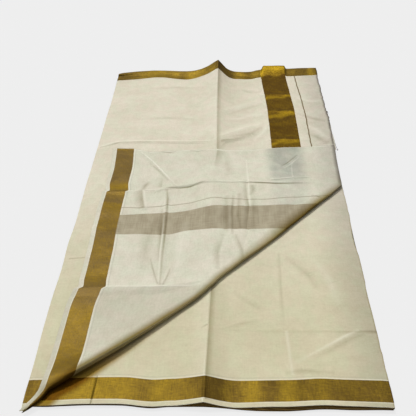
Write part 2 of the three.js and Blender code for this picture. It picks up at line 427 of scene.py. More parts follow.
def relief(creases: Sequence[Crease], x: Array, y: Array) -> Array:
    """All fine creases together."""
    return sum((crease.relief(x, y) for crease in creases), np.zeros(np.shape(x)))


def bend_at(y: Array) -> tuple[Array, Array, Array]:
    """The diagonal fold at each y: its x, its lift and the rise of its lower side."""
    rows = list(zip(*BEND))
    return tuple(flowing(y, rows[0], values) for values in rows[1:])


@dataclass(frozen=True)
class PileForm:
    """How high each layer of the pile lies, and how its edges run."""

    all_layers: tuple[Ridge, ...] = (
        Ridge(((-7, -600, 11), (-2, -330, 2)), 52, 52, 1.4),
        Ridge(((-2, -330, 2), (0, 180, 3)), 46, 40, 1.3),
        Ridge(((0, 180, 3), (0, 420, 7)), 60, 42, 1.4),
        Ridge(((0, 420, 7), (0, 600, 20)), 96, 52, 1.5),
    )
    second_folds: tuple[Ridge, ...] = (Ridge(((150, -600, 4), (270, -600, 4)), 130, 130),)
    top_folds: tuple[Ridge, ...] = (
        Ridge(((0, 420, 1), (0, 600, 12)), 96, 48, 1.5),
        Ridge(((-280, 600, 4), (290, 600, 4)), 48, 48),
        Ridge(((26, 190, 5), (140, 266, 3)), 40, 44),
    )
    flap_folds: tuple[Ridge, ...] = (
        Ridge(((-254, -46, 1.4), (-190, -42, 1.4), (-118, -37, 2.0)), 36, 12, 1.2),
        Ridge(((-118, -37, 3.0), (-104, -28, 3.4), (-60, -17, 3.6)), 36, 8, 1.2),
        Ridge(((-60, -17, 3.6), (-25, -4, 3.2), (5, -5, 2.5)), 36, 8, 1.2),
        Ridge(((5, -5, 2.5), (71, -1, 3.4), (110, -4, 3.6), (155, -5, 3.2), (225, 0, 1.5)), 36, 8, 1.2),
        Ridge(((-260, -361, 4), (-99, -349, 5), (-30, -338, 4)), 36, 18, 1.2),
        Ridge(((10, -95, 8), (120, -70, 6)), 110, 100),
    )
    second_creases: tuple[Crease, ...] = (
        Crease(((136, -236), (134, -344), (133, -433)), 0.7, 7, 7),
        Crease(((-2, -446), (150, -447), (301, -443)), 0.9, 6, 12),
        Crease(((174, -500), (240, -456), (279, -436)), 0.6, 7, 10),
        Crease(((-188, -545), (-189, -618)), -0.6, 3, 3, 0.02),
    )
    top_creases: tuple[Crease, ...] = (
        Crease(((-296, 162), (-250, 169), (-180, 172), (-79, 171), (0, 178)), 2.4, 9, 5),
        Crease(((4, 176), (39, 178), (90, 204)), -3.0, 14, 20),
        Crease(((6, 198), (52, 232), (110, 262)), 3.0, 22, 20),
        Crease(((8, 330), (58, 364), (127, 403)), 2.6, 24, 20),
        Crease(((30, 470), (80, 462), (127, 470)), 1.8, 22, 20),
        Crease(((240, 262), (262, 240), (290, 196)), 2.4, 16, 14),
        Crease(((-290, -263), (-261, -261)), -1.4, 5, 5, 0.1),
        Crease(((255, 170), (291, 194)), 2.0, 9, 9),
        Crease(((118, 428), (160, 436), (205, 434)), 2.2, 12, 9, 0.1),
        Crease(((130, 338), (165, 342), (212, 339)), 2.4, 16, 12, 0.1),
        Crease(((134, 268), (165, 276)), 1.4, 12, 10, 0.2),
        Crease(((132, 186), (176, 194), (216, 192)), 2.2, 14, 9, 0.1),
    )
    flap_creases: tuple[Crease, ...] = (
        Crease(((-190, 127), (-161, 90), (-124, 39), (-90, -13)), 2.6, 7, 4, 0.06),
        Crease(((-105, -38), (-105, -114), (-104, -203), (-97, -347)), 3.0, 10, 8, 0.03),
        Crease(((-115, -110), (-112, -184), (-107, -250)), -1.6, 5, 5, 0.15),
        Crease(((-167, -44), (-163, -74), (-157, -112)), 3.0, 30, 6, 0.08),
        Crease(((-130, -255), (-100, -347)), 2.0, 9, 6, 0.1),
        Crease(((-78, -275), (-92, -347)), 2.0, 6, 9, 0.1),
        Crease(((24, -60), (25, -130), (27, -205)), -2.2, 9, 9),
        Crease(((47, -60), (48, -190)), -1.8, 9, 9),
        Crease(((77, 132), (76, 20), (73, -90), (75, -172), (62, -240)), -2.4, 9, 8, 0.08),
        Crease(((158, 66), (180, 93), (202, 118)), -2.0, 6, 5, 0.1),
        Crease(((184, 68), (182, 2)), 1.6, 5, 5, 0.15),
        Crease(((128, 6), (177, 17), (226, 22)), 2.0, 9, 5, 0.12),
        Crease(((-140, 125), (-118, 118), (-96, 119)), -1.6, 5, 5),
    )
    near_blend: float = 70.0
    far_blend: float = 60.0
    tucked_x: Span = (-302.0, -266.0)
    tucked_y: Span = (-602.0, -575.0)
    bow_at: float = -535.0
    bow_half: float = 55.0
    bow: float = 3.0
    side_blend: float = 80.0
    corner_x: Span = (-302.0, -262.0)
    corner_y: Span = (-606.0, -570.0)
    droop: tuple[float, float, float] = (2.0, 3.0, 6.0)
    hidden_share: float = 0.7
    tuck_x: Span = (100.0, 120.0)
    tuck_y: Span = (100.0, 150.0)
    lap_height: float = 9.0
    lap_left: Span = (130.0, 137.0)
    lap_right: Span = (201.0, 208.0)
    lap_y: Span = (548.0, 598.0)
    lifted_strip: float = 60.0
    bend_swell: Span = (-110.0, -6.0)
    swell_fade: Span = (0.0, 60.0)
    swell_heights: Span = (1.9, 1.0)
    swell_pitches: Span = (74.0, 31.0)
    second_seed: int = 71
    top_seed: int = 83
    flap_seed: int = 97

    def settled(self, x: Array, y: Array, tucked: float = 0.0) -> Array:
        """Where a point across the cloth ends up: the near and far edges run a little askew.

        Args:
            x: Places along the cloth.
            y: Places across the cloth.
            tucked: How far the near left corner is drawn in.

        Returns:
            The places in y.
        """
        near = 1.0 - smooth(y, -HALF_LENGTH, -HALF_LENGTH + self.near_blend)
        y = y + tucked * near * (1.0 - smooth(x, *self.tucked_x))
        far = smooth(y, HALF_LENGTH - self.far_blend, HALF_LENGTH)
        short = HALF_LENGTH - flowing(x, *zip(*FAR_EDGE))
        return y + near * flowing(x, *zip(*NEAR_EDGE)) - far * short

    def strayed(self, x: Array, y: Array, tucked: float = 0.0) -> Array:
        """Where a point along the cloth ends up: the stacked folds at the sides aren't quite straight.

        Args:
            x: Places along the cloth.
            y: Places across the cloth.
            tucked: How far the near left corner is drawn in.

        Returns:
            The places in x.
        """
        corner = tucked * (1.0 - smooth(y, *self.tucked_y))
        bow = self.bow * np.exp(-(((y - self.bow_at) / self.bow_half) ** 2))
        left = bow + wander(y, 14, 75.0) + corner
        right = 0.8 * wander(y, 15, 60.0)
        on_left = 1.0 - smooth(x, -HALF_WIDTH, -HALF_WIDTH + self.side_blend)
        return x + left * on_left + right * smooth(x, HALF_WIDTH - self.side_blend, HALF_WIDTH)

    def corner(self, x: Array, y: Array) -> Array:
        """How close each point is to the near left corner, where the layers droop to the ground."""
        return (1.0 - smooth(x, *self.corner_x)) * (1.0 - smooth(y, *self.corner_y))

    def raised(self, x: Array, y: Array) -> Array:
        """Height of the long folds that the top two layers share."""
        return highest(self.all_layers, x, y) + highest(self.second_folds, x, y)

    def stack(self, x: Array, y: Array) -> Array:
        """Height of the hidden layers' top."""
        return STACK_HEIGHT + self.hidden_share * self.raised(x, y) - self.droop[0] * self.corner(x, y)

    def swells(self, x: Array, y: Array, seed: int) -> Array:
        """Height of the soft uneven swells that loose cotton keeps, 0 and up."""
        broad = self.swell_heights[0] * rumple(x + 0.3 * y, y, seed, self.swell_pitches[0])
        return broad + self.swell_heights[1] * rumple(x, y - 0.2 * x, seed + 1, self.swell_pitches[1])

    def second(self, x: Array, y: Array) -> Array:
        """Height of the second layer."""
        creased = relief(self.second_creases, x, y) + self.swells(x, y, self.second_seed)
        return SECOND_LEVEL + self.raised(x, y) + creased - self.droop[1] * self.corner(x, y)

    def tuck(self, x: Array, y: Array) -> Array:
        """Height that the tucked cut end adds under the top layer's right side."""
        return LAYER_STEP * smooth(x, *self.tuck_x) * smooth(y, *self.tuck_y)

    def lap(self, x: Array, y: Array) -> Array:
        """Height of the stiff gold band where it rides up over the far border."""
        across_band = smooth(x, *self.lap_left) * (1.0 - smooth(x, *self.lap_right))
        return self.lap_height * across_band * smooth(y, *self.lap_y)

    def top(self, x: Array, y: Array) -> Array:
        """Finds how high the top layer lies.

        Args:
            x: Places along the cloth.
            y: Places across the cloth.

        Returns:
            The height at each point.
        """
        bend_x, _, rise = bend_at(y)
        lifted = rise * smooth(x - bend_x, -self.lifted_strip, 0.0)
        own = highest(self.top_folds, x, y) + self.lap(x, y) + relief(self.top_creases, x, y)
        base = SECOND_LEVEL + LAYER_STEP + self.raised(x, y) + self.swells(x, y, self.second_seed)
        loose = self.swells(x, y, self.top_seed) - self.droop[2] * self.corner(x, y)
        return base + self.tuck(x, y) + lifted + own + loose

    def flap(self, x: Array, y: Array) -> Array:
        """Finds how high the turned flap lies. It swells up to the bend.

        Args:
            x: Places along the cloth.
            y: Places across the cloth.

        Returns:
            The height at each point.
        """
        bend_x, lift, _ = bend_at(y)
        swell = smooth(x - bend_x, *self.bend_swell) * (1.0 - smooth(y, *self.swell_fade))
        up = np.maximum((lift - LAYER_STEP) * swell, highest(self.flap_folds, x, y))
        creased = relief(self.flap_creases, x, y) + self.swells(x, y, self.flap_seed)
        return self.top(x, y) + LAYER_STEP + up + creased


# Pressed creases: bumps, with painted highlights on their ridges and painted shade in their troughs.
FLAP_PRESSED = (
    Pressed(((-186, 122, 0.7), (-155, 86, 2.1), (-124, 37, 1.5), (-90, -18, 0.4)), 3.5, 3.0),
    Pressed(((-160, 76, -0.2), (-135, 44, -0.6), (-108, 0, -0.3)), 4.0, 6.0),
    Pressed(((5, 132, -0.8), (3, 104, -0.6), (0, 62, -0.2)), 26.0, 3.0),
    Pressed(((22, 118, -0.2), (30, 70, -0.4), (34, 26, -0.2)), 16.0, 14.0),
    Pressed(((-250, -47, 0.8), (-198, -42, 0.8), (-148, -39, 0.6), (-114, -34, 0.4)), 3.0, 3.0),
    Pressed(((-112, -30, -0.3), (-80, -28, -1.0), (-58, -23, -1.4), (-22, -5, -0.2)), 3.5, 3.0),
    Pressed(((12, -4, 0.4), (71, -1, 0.9), (165, -2, 0.5)), 4.0, 3.0),
    Pressed(((74, -4, -0.4), (110, -6, -1.2), (141, -8, -1.4), (205, -4, -0.3)), 3.5, 3.0),
    Pressed(((-108, -36, -0.5), (-104, -72, -1.1), (-102, -124, -0.8), (-101, -195, -1.2)), 3.0, 6.0),
    Pressed(((-101, -195, -1.2), (-101, -255, -0.7), (-99, -346, -0.5)), 3.0, 5.0),
    Pressed(((-107, -130, 0.3), (-107, -240, 0.9), (-102, -340, 0.4)), 3.0, 3.0),
    Pressed(((-114, -105, -0.2), (-111, -175, -0.9), (-109, -276, -0.2)), 4.0, 6.0),
    Pressed(((-262, 135, 0.7), (-206, 135, 0.9), (-160, 121, 1.1), (-100, 129, 1.0)), 2.5, 2.5),
    Pressed(((-100, 129, 0.8), (-50, 133, 1.0), (0, 136, 0.7), (100, 139, 0.9), (290, 160, 0.7)), 2.5, 2.5),
    Pressed(((-167, -37, -0.5), (-162, -71, -0.9), (-155, -106, -0.5)), 3.0, 20.0),
    Pressed(((-162, -37, 0.4), (-157, -71, 0.9), (-150, -106, 0.4)), 5.0, 3.0),
    Pressed(((-152, -4, -0.2), (-160, -20, -0.8), (-165, -38, -0.5)), 8.0, 8.0),
    Pressed(((-124, 10, -0.2), (-123, -28, -0.5)), 3.0, 9.0),
    Pressed(((-125, -270, -0.3), (-117, -299, -0.7), (-104, -344, -0.5)), 3.0, 3.0),
    Pressed(((-83, -298, -0.3), (-87, -321, -0.7), (-93, -346, -0.5)), 3.0, 3.0),
    Pressed(((71, 0, -0.2), (74, -65, -0.6), (77, -98, -0.9), (70, -175, -0.3)), 2.5, 9.0),
    Pressed(((75, 98, 0.4), (78, 5, 1.0), (80, -98, 0.7)), 4.0, 2.5),
    Pressed(((28, -60, -0.2), (26, -135, -0.8), (29, -180, -0.3)), 12.0, 7.0),
    Pressed(((43, -60, -0.3), (40, -125, -0.9), (41, -190, -0.3)), 5.0, 5.0),
    Pressed(((56, -50, -0.3), (53, -131, -0.8), (58, -172, -0.3)), 9.0, 5.0),
    Pressed(((47, -190, -0.3), (60, -240, -0.7), (62, -275, -0.2)), 5.0, 9.0),
    Pressed(((22, -190, -0.2), (10, -250, -0.6), (12, -300, -0.2)), 6.0, 12.0),
    Pressed(((86, -60, -0.2), (88, -120, -0.5), (84, -180, -0.2)), 12.0, 10.0),
    Pressed(((34, -70, 0.1), (34, -190, 0.2)), 6.0, 5.0),
    Pressed(((-128, -150, -0.1), (-136, -215, -0.4), (-140, -300, -0.2)), 14.0, 16.0),
    Pressed(((-60, -150, 0.1), (-66, -230, 0.4), (-70, -320, 0.2)), 18.0, 16.0),
    Pressed(((159, 69, -0.3), (180, 92, -1.0), (202, 119, -0.4)), 2.6, 2.6),
    Pressed(((166, 62, 0.3), (186, 84, 0.8), (205, 109, 0.3)), 2.6, 2.6),
    Pressed(((130, 12, 0.6), (165, 15, 1.3), (221, 24, 0.5)), 3.0, 4.0),
    Pressed(((186, 87, 0.3), (184, 49, 0.6), (184, 8, 0.4)), 2.6, 2.6),
    Pressed(((220, -50, -0.5), (233, -54, -0.8), (243, -63, -0.3)), 3.0, 3.0),
    Pressed(((-204, -353, 0.9), (-99, -349, 0.9), (-41, -347, 0.7), (-22, -341, 0.4)), 3.0, 3.0),
    Pressed(((-137, 126, -0.4), (-114, 122, -0.8), (-99, 128, -0.4)), 2.6, 2.6),
    Pressed(((-64, 130, -0.3), (-44, 128, -0.7), (-22, 135, -0.3)), 2.6, 2.6),
    Pressed(((87, -15, -0.4), (89, -34, -0.7), (81, -57, -0.3)), 9.0, 9.0),
)
TOP_PRESSED = (
    Pressed(((-262, 140, -0.4), (-206, 140, -0.6), (-160, 126, -0.7), (-100, 134, -0.6)), 3.0, 3.0),
    Pressed(((-100, 134, -0.6), (-50, 138, -0.7), (0, 141, -0.4)), 3.0, 3.0),
    Pressed(((0, 141, -0.4), (100, 144, -0.6), (290, 166, -0.4)), 3.0, 3.0),
    Pressed(((-294, 147, -0.4), (-246, 170, -0.7), (-180, 175, -1.1)), 3.5, 3.5),
    Pressed(((-180, 175, -1.1), (-92, 174, -0.9), (-20, 180, -0.3)), 3.5, 3.5),
    Pressed(((-294, 153, 0.6), (-246, 177, 0.7), (-180, 182, 0.7)), 4.0, 3.5),
    Pressed(((-180, 182, 0.7), (-92, 181, 0.6), (-10, 188, 0.4)), 4.0, 3.5),
    Pressed(((2, 598, -1.0), (2, 400, -0.9), (3, 300, -0.7), (4, 150, -0.9), (4, 120, -0.3)), 16.0, 2.5),
    Pressed(((3, 598, -0.27), (3, 400, -0.28), (3, 130, -0.27)), 128.0, 2.5),
    Pressed(((-5, 598, 0.2), (-5, 200, 0.2)), 4.0, 34.0),
    Pressed(((-4, 598, 0.5), (-4, 300, 0.4), (-3, 190, 0.5)), 3.0, 3.0),
    Pressed(((12, 182, -0.9), (45, 190, -0.6), (88, 212, -0.2)), 7.0, 12.0),
    Pressed(((10, 312, -0.2), (58, 340, -0.4), (127, 380, -0.1)), 16.0, 14.0),
    Pressed(((14, 330, 0.2), (58, 360, 0.6), (127, 398, 0.2)), 20.0, 16.0),
    Pressed(((120, 250, -0.1), (90, 216, -0.6), (30, 200, -0.3)), 18.0, 12.0),
    Pressed(((8, 208, 0.3), (60, 238, 0.7), (118, 274, 0.3)), 22.0, 18.0),
    Pressed(((60, 322, 0.2), (100, 318, 0.5), (128, 324, 0.2)), 14.0, 12.0),
    Pressed(((10, 150, -0.5), (24, 176, -0.6), (60, 196, -0.2)), 12.0, 18.0),
    Pressed(((96, 190, 0.2), (126, 226, 0.7), (134, 262, 0.3)), 9.0, 8.0),
    Pressed(((10, 296, 0.2), (62, 300, 0.6), (124, 338, 0.2)), 9.0, 9.0),
    Pressed(((220, 330, -0.2), (262, 300, -0.5), (292, 290, -0.3)), 12.0, 9.0),
    Pressed(((226, 420, 0.2), (262, 400, 0.5), (294, 404, 0.2)), 12.0, 9.0),
    Pressed(((242, 262, 0.2), (264, 240, 0.7), (290, 200, 0.3)), 14.0, 16.0),
    Pressed(((236, 226, -0.2), (262, 206, -0.6), (284, 176, -0.2)), 14.0, 12.0),
    Pressed(((60, 470, -0.1), (90, 452, -0.4), (128, 448, -0.1)), 14.0, 9.0),
    Pressed(((-200, 470, -0.1), (-120, 478, -0.3), (-40, 470, -0.1)), 9.0, 12.0),
    Pressed(((-230, 290, -0.1), (-130, 298, -0.3), (-60, 290, -0.1)), 12.0, 9.0),
    Pressed(((-290, -270, -0.7), (-252, -265, -0.5)), 3.0, 3.0),
    Pressed(((255, 160, 0.3), (291, 172, 0.7)), 5.0, 7.0),
)
SECOND_PRESSED = (
    Pressed(((1, -325, -1.0), (-1, -400, -0.9), (-2, -471, -0.9)), 14.0, 2.5),
    Pressed(((-2, -471, -0.9), (-4, -545, -0.9), (-4, -600, -1.0)), 14.0, 2.5),
    Pressed(((-5, -330, 0.4), (-7, -471, 0.4), (-9, -606, 1.0)), 1.8, 2.5),
    Pressed(((1, -330, -0.3), (-4, -600, -0.3)), 40.0, 2.5),
    Pressed(((-6, -340, 0.25), (-10, -600, 0.25)), 4.0, 30.0),
    Pressed(((136, -240, -0.2), (134, -344, -0.4), (133, -433, -0.1)), 4.0, 7.0),
    Pressed(((137, -445, 0.5), (141, -545, 0.4)), 5.0, 5.0),
    Pressed(((-2, -446, -0.1), (161, -446, -0.2), (250, -445, -0.4), (301, -443, -0.8)), 5.0, 6.0),
    Pressed(((130, -528, 0.1), (174, -500, 0.3), (240, -456, 0.8), (268, -440, 0.3)), 5.0, 5.0),
    Pressed(((176, -510, -0.1), (243, -466, -0.4), (276, -448, -0.3)), 6.0, 9.0),
    Pressed(((150, -250, -0.1), (190, -300, -0.4), (204, -340, -0.1)), 14.0, 9.0),
    Pressed(((40, -350, -0.1), (80, -385, -0.3), (100, -400, -0.1)), 12.0, 9.0),
    Pressed(((6, -455, -0.1), (60, -430, -0.3), (96, -420, -0.1)), 6.0, 8.0),
    Pressed(((206, -250, 0.1), (232, -320, 0.4), (240, -380, 0.1)), 14.0, 12.0),
    Pressed(((128, -540, -0.1), (160, -534, -0.5), (212, -538, -0.2)), 6.0, 9.0),
    Pressed(((-16, -447, -0.3), (-5, -439, -0.7)), 3.0, 3.0),
    Pressed(((-187, -552, -0.8), (-188, -586, -0.9), (-189, -613, -1.2)), 1.8, 1.8),
)


# ---------------------------------------------------------------- sheets


def stacked(x: Array, y: Array, z: Array) -> Array:
    """Three arrays as one array of points."""
    return np.stack([x, y, z], axis=-1)


def to_mesh(name: str, bm: bmesh.types.BMesh) -> bpy.types.Mesh:
    """Makes a mesh of a bmesh.

    Args:
        name: The mesh's name.
        bm: The bmesh, which is used up.

    Returns:
        The mesh.
    """
    mesh = bpy.data.meshes.new(name)
    bm.to_mesh(mesh)
    bm.free()
    return mesh


def add_piece(name: str, mesh: bpy.types.Mesh) -> Piece:
    """Smooths a mesh and puts it into the scene.

    Args:
        name: The piece's name.
        mesh: Its mesh.

    Returns:
        The piece.
    """
    mesh.polygons.foreach_set("use_smooth", np.ones(len(mesh.polygons), dtype=bool))
    mesh.update()
    piece = bpy.data.objects.new(name, mesh)
    bpy.context.scene.collection.objects.link(piece)
    return piece


def map_corners(mesh: bpy.types.Mesh, name: str, rows: Array) -> None:
    """Gives each corner of the mesh a pair of numbers.

    Args:
        mesh: The mesh.
        name: The name of the UV map that holds them.
        rows: One pair for each vertex.
    """
    corner = np.empty(len(mesh.loops), dtype=int)
    mesh.loops.foreach_get("vertex_index", corner)
    layer = mesh.uv_layers.new(name=name)
    layer.data.foreach_set("uv", rows[corner].ravel())


def cloth_sheet(
    name: str, place: Array, weave: Array, dim: Array | float = 0.0, edge: Array | float = 0.0
) -> Piece:
    """Makes a thin sheet of cloth from a grid.

    Args:
        name: The piece's name.
        place: Rows by columns by 3, the sheet's points in millimetres.
        weave: Rows by columns by 2, each point's place on the flat cloth in millimetres.
        dim: Rows by columns, how deep each point lies in the painted warm shade of a fold, from 0 to 1.
        edge: Rows by columns, how deep each point lies in the painted grey shade at an edge, from 0 to 1.

    Returns:
        The piece, with its upper face on the points and its thickness below them.
    """
    rows, columns = place.shape[:2]
    bm = bmesh.new()
    bmesh.ops.create_grid(bm, x_segments=columns - 1, y_segments=rows - 1, size=1.0)
    mesh = to_mesh(name, bm)
    flat = np.empty(len(mesh.vertices) * 3)
    mesh.vertices.foreach_get("co", flat)
    flat = flat.reshape(-1, 3)
    column = np.rint((flat[:, 0] + 1.0) / 2.0 * (columns - 1)).astype(int)
    row = np.rint((flat[:, 1] + 1.0) / 2.0 * (rows - 1)).astype(int)
    mesh.vertices.foreach_set("co", (place[row, column] * MM + np.array(PLACE)).ravel())
    map_corners(mesh, "cloth", weave[row, column] * MM)
    # The fold UV map carries painted shade: warm in folds, grey at edges.
    shade = np.stack([np.broadcast_to(share, place.shape[:2]) for share in (dim, edge)], axis=-1)
    map_corners(mesh, "fold", shade[row, column])
    piece = add_piece(name, mesh)
    wall = piece.modifiers.new("cloth thickness", "SOLIDIFY")
    wall.thickness = CLOTH_THICKNESS * MM
    wall.offset = -1.0
    return piece


def turned_down(at: Array, low: float, high: float) -> tuple[Array, Array]:
    """Places on the flat cloth held inside two edges, and how far each one hangs down over its edge."""
    over = np.maximum(low - at, 0.0) + np.maximum(at - high, 0.0)
    return np.clip(at, low, high), over


def across_the_cloth(place: Array) -> Array:
    """How far each point of a whole layer is from the near selvedge, along its own column.

    Args:
        place: Rows by columns by 3, from the near selvedge to the far one.

    Returns:
        The distances. Both selvedges keep their borders' true width, and the middle takes the rest.
    """
    steps = np.linalg.norm(np.diff(place[..., 1:], axis=0), axis=-1)
    length = np.concatenate([np.zeros((1, place.shape[1])), np.cumsum(steps, axis=0)])
    return length + (CLOTH_WIDTH - length[-1]) * smooth(length / length[-1], 0.2, 0.8)


# ---------------------------------------------------------------- shader nodes


def to_linear(red: int, green: int, blue: int) -> Rgba:
    """Turns an sRGB colour into linear light.

    Args:
        red: Out of 255.
        green: Out of 255.
        blue: Out of 255.

    Returns:
        The colour as a socket takes it.
    """
    share = np.array([red, green, blue]) / 255.0
    light = np.where(share <= 0.04045, share / 12.92, ((share + 0.055) / 1.055) ** 2.4)
    return float(light[0]), float(light[1]), float(light[2]), 1.0


class PaintedSheen(NamedTuple):
    """Painted reflection: how bright gold thread is coloured at one place along it, from 0 to 1."""

    at: float
    glow: float


class Nodes:
    """A short way to place and link shader nodes in one tree."""

    def __init__(self, tree: Tree) -> None:
        """Holds the tree that the nodes go into."""
        self.tree = tree

    def add(self, kind: str, **settings: object) -> bpy.types.Node:
        """Adds a node.

        Args:
            kind: The node's type.
            **settings: Its properties by name.

        Returns:
            The node.
        """
        node = self.tree.nodes.new(kind)
        for key, value in settings.items():
            setattr(node, key, value)
        return node

    def feed(self, socket: Socket, value: object) -> None:
        """Links a socket or sets its value.

        Args:
            socket: The socket to feed.
            value: Another socket, or a number, vector or colour.
        """
        if isinstance(value, Socket):
            self.tree.links.new(value, socket)
        else:
            socket.default_value = value

    def math(self, operation: str, *values: object, clamp: bool = False) -> Socket:
        """Places a Math node.

        Args:
            operation: What it works out.
            *values: Sockets or numbers.
            clamp: Whether the result is held between 0 and 1.

        Returns:
            Its result.
        """
        node = self.add("ShaderNodeMath", operation=operation, use_clamp=clamp)
        for socket, value in zip(node.inputs, values):
            self.feed(socket, value)
        return node.outputs[0]

    def times(self, first: object, second: object, clamp: bool = False) -> Socket:
        """One value times another."""
        return self.math("MULTIPLY", first, second, clamp=clamp)

    def vector(self, operation: str, *values: object) -> Socket:
        """Places a Vector Math node.

        Args:
            operation: What it works out.
            *values: Sockets or vectors.

        Returns:
            Its result, a number for DOT_PRODUCT and a vector otherwise.
        """
        node = self.add("ShaderNodeVectorMath", operation=operation)
        for socket, value in zip(node.inputs, values):
            self.feed(socket, value)
        return node.outputs["Value" if operation == "DOT_PRODUCT" else "Vector"]

    def total(self, *values: object) -> Socket:
        """Adds up several values.

        Args:
            *values: Sockets or numbers.

        Returns:
            The sum.
        """
        result = values[0]
        for value in values[1:]:
            result = self.math("ADD", result, value)
        return result

    def blend(self, factor: object, low: object, high: object) -> Socket:
        """Places a Mix node for numbers.

        Args:
            factor: The share of the second number.
            low: The first number.
            high: The second number.

        Returns:
            The number between them.
        """
        node = self.add("ShaderNodeMix", data_type="FLOAT")
        for socket, value in zip((node.inputs[0], node.inputs[2], node.inputs[3]), (factor, low, high)):
            self.feed(socket, value)
        return node.outputs[0]

    def mix(self, factor: object, first: object, second: object, blend: str = "MIX") -> Socket:
        """Places a Mix node for colours.

        Args:
            factor: The share of the second colour.
            first: The first colour.
            second: The second colour.
            blend: How the second is laid on the first.

        Returns:
            The mixed colour.
        """
        node = self.add("ShaderNodeMix", data_type="RGBA", blend_type=blend)
        self.feed(node.inputs["Factor"], factor)
        self.feed(node.inputs[6], first)
        self.feed(node.inputs[7], second)
        return node.outputs[2]

    def split(self, vector: Socket) -> tuple[Socket, Socket, Socket]:
        """Splits a vector.

        Args:
            vector: The vector.

        Returns:
            Its three parts.
        """
        node = self.add("ShaderNodeSeparateXYZ")
        self.feed(node.inputs[0], vector)
        return node.outputs[0], node.outputs[1], node.outputs[2]

    def noise(self, vector: object, each_metre: Span, detail: float = 3.0) -> Socket:
        """Places smooth noise on the cloth.

        Args:
            vector: Places on the cloth, in metres.
            each_metre: How many features there are in a metre along and across.
            detail: How many finer layers it has.

        Returns:
            The noise, between 0 and 1.
        """
        mapping = self.add("ShaderNodeMapping")
        self.feed(mapping.inputs["Vector"], vector)
        mapping.inputs["Scale"].default_value = (each_metre[0], each_metre[1], 1.0)
        node = self.add("ShaderNodeTexNoise")
        self.feed(node.inputs["Vector"], mapping.outputs[0])
        node.inputs["Scale"].default_value = 1.0
        node.inputs["Detail"].default_value = detail
        return node.outputs["Fac"]

    def step(self, value: object, low: float, high: float) -> Socket:
        """Places a smooth step.

        Args:
            value: What it reads.
            low: Where it leaves 0.
            high: Where it reaches 1.

        Returns:
            The step.
        """
        node = self.add("ShaderNodeMapRange", interpolation_type="SMOOTHSTEP")
        self.feed(node.inputs["Value"], value)
        node.inputs["From Min"].default_value = low
        node.inputs["From Max"].default_value = high
        return node.outputs["Result"]

    def painted_sheen(self, place: Socket, rows: Sequence[PaintedSheen]) -> Socket:
        """Reads the painted reflection of gold thread from a short table.

        Args:
            place: Places along the thread, in metres.
            rows: The table, with its places in millimetres.

        Returns:
            The painted reflection at each place.
        """
        low, span = rows[0].at * MM, (rows[-1].at - rows[0].at) * MM
        ramp = self.add("ShaderNodeValToRGB")
        self.feed(ramp.inputs[0], self.math("DIVIDE", self.math("SUBTRACT", place, low), span))
        ramp.color_ramp.interpolation = "EASE"
        stops = ramp.color_ramp.elements
        for number, row in enumerate(rows):
            at = (row.at * MM - low) / span
            stop = stops[0] if number == 0 else stops[-1] if number == len(rows) - 1 else stops.new(at)
            stop.color = (row.glow, row.glow, row.glow, 1.0)
        return ramp.outputs["Color"]

    def group(self, tree: Tree, **values: object) -> bpy.types.Node:
        """Places a shader node group.

        Args:
            tree: The group.
            **values: Its inputs by name.

        Returns:
            The node.
        """
        node = self.add("ShaderNodeGroup")
        node.node_tree = tree
        for key, value in values.items():
            self.feed(node.inputs[key], value)
        return node


def new_material(name: str) -> tuple[Material, Nodes, bpy.types.Node]:
    """Starts a material.

    Args:
        name: Its name.

    Returns:
        The material, its Nodes helper and its shader.
    """
    material = bpy.data.materials.new(name)
    material.use_nodes = True
    return material, Nodes(material.node_tree), material.node_tree.nodes["Principled BSDF"]


def new_group(name: str, inputs: dict[str, str], outputs: dict[str, str]) -> tuple:
    """Starts a shader node group.

    Args:
        name: The group's name.
        inputs: Socket type by name.
        outputs: Socket type by name.

    Returns:
        The tree, its Nodes helper, its input node's sockets and its output node's sockets.
    """
    tree = bpy.data.node_groups.new(name, "ShaderNodeTree")
    for label, kind in inputs.items():
        tree.interface.new_socket(name=label, in_out="INPUT", socket_type=kind)
    for label, kind in outputs.items():
        tree.interface.new_socket(name=label, in_out="OUTPUT", socket_type=kind)
    nodes = Nodes(tree)
    return tree, nodes, nodes.add("NodeGroupInput").outputs, nodes.add("NodeGroupOutput").inputs


FLOAT, VECTOR = "NodeSocketFloat", "NodeSocketVector"
THREADS_EACH_METRE = 1200.0
RIB_PITCH = 0.0011


def stripe_group() -> Tree:
    """Makes the group for a stripe between two values, with soft edges.

    Returns:
        The group, which puts out the stripe's mask.
    """
    wanted = {"Value": FLOAT, "Low": FLOAT, "High": FLOAT, "Soft": FLOAT}
    tree, nodes, given, out = new_group("stripe", wanted, {"Mask": FLOAT})
    up = nodes.math("DIVIDE", nodes.math("SUBTRACT", given["Value"], given["Low"]), given["Soft"])
    down = nodes.math("DIVIDE", nodes.math("SUBTRACT", given["High"], given["Value"]), given["Soft"])
    sides = [nodes.math("ADD", side, 0.5, clamp=True) for side in (up, down)]
    nodes.feed(out["Mask"], nodes.times(*sides))
    return tree


def crease_group() -> Tree:
    """Makes the group for one straight pressed crease, as steep as its two reaches make it.

    Returns:
        The group, which puts out the crease's height at a place.
    """
    wanted = {"Place": VECTOR, "Start": VECTOR, "Step": VECTOR, "Side": VECTOR}
    wanted |= {"First": FLOAT, "Change": FLOAT, "Left": FLOAT, "Right": FLOAT}
    tree, nodes, given, out = new_group("pressed crease", wanted, {"Height": FLOAT})
    apart = nodes.vector("SUBTRACT", given["Place"], given["Start"])
    share = nodes.vector("DOT_PRODUCT", apart, given["Step"])
    aside = nodes.vector("DOT_PRODUCT", apart, given["Side"])
    within = nodes.math("COMPARE", share, 0.5, 0.5)
    height = nodes.math("MULTIPLY_ADD", share, given["Change"], given["First"])
    slopes = [nodes.math("MULTIPLY_ADD", aside, given[side], 1.0) for side in ("Left", "Right")]
    near = nodes.math("MAXIMUM", nodes.math("MINIMUM", *slopes), 0.0)
    shape = nodes.times(nodes.math("POWER", near, 1.1), within)
    nodes.feed(out["Height"], nodes.times(height, shape))
    return tree


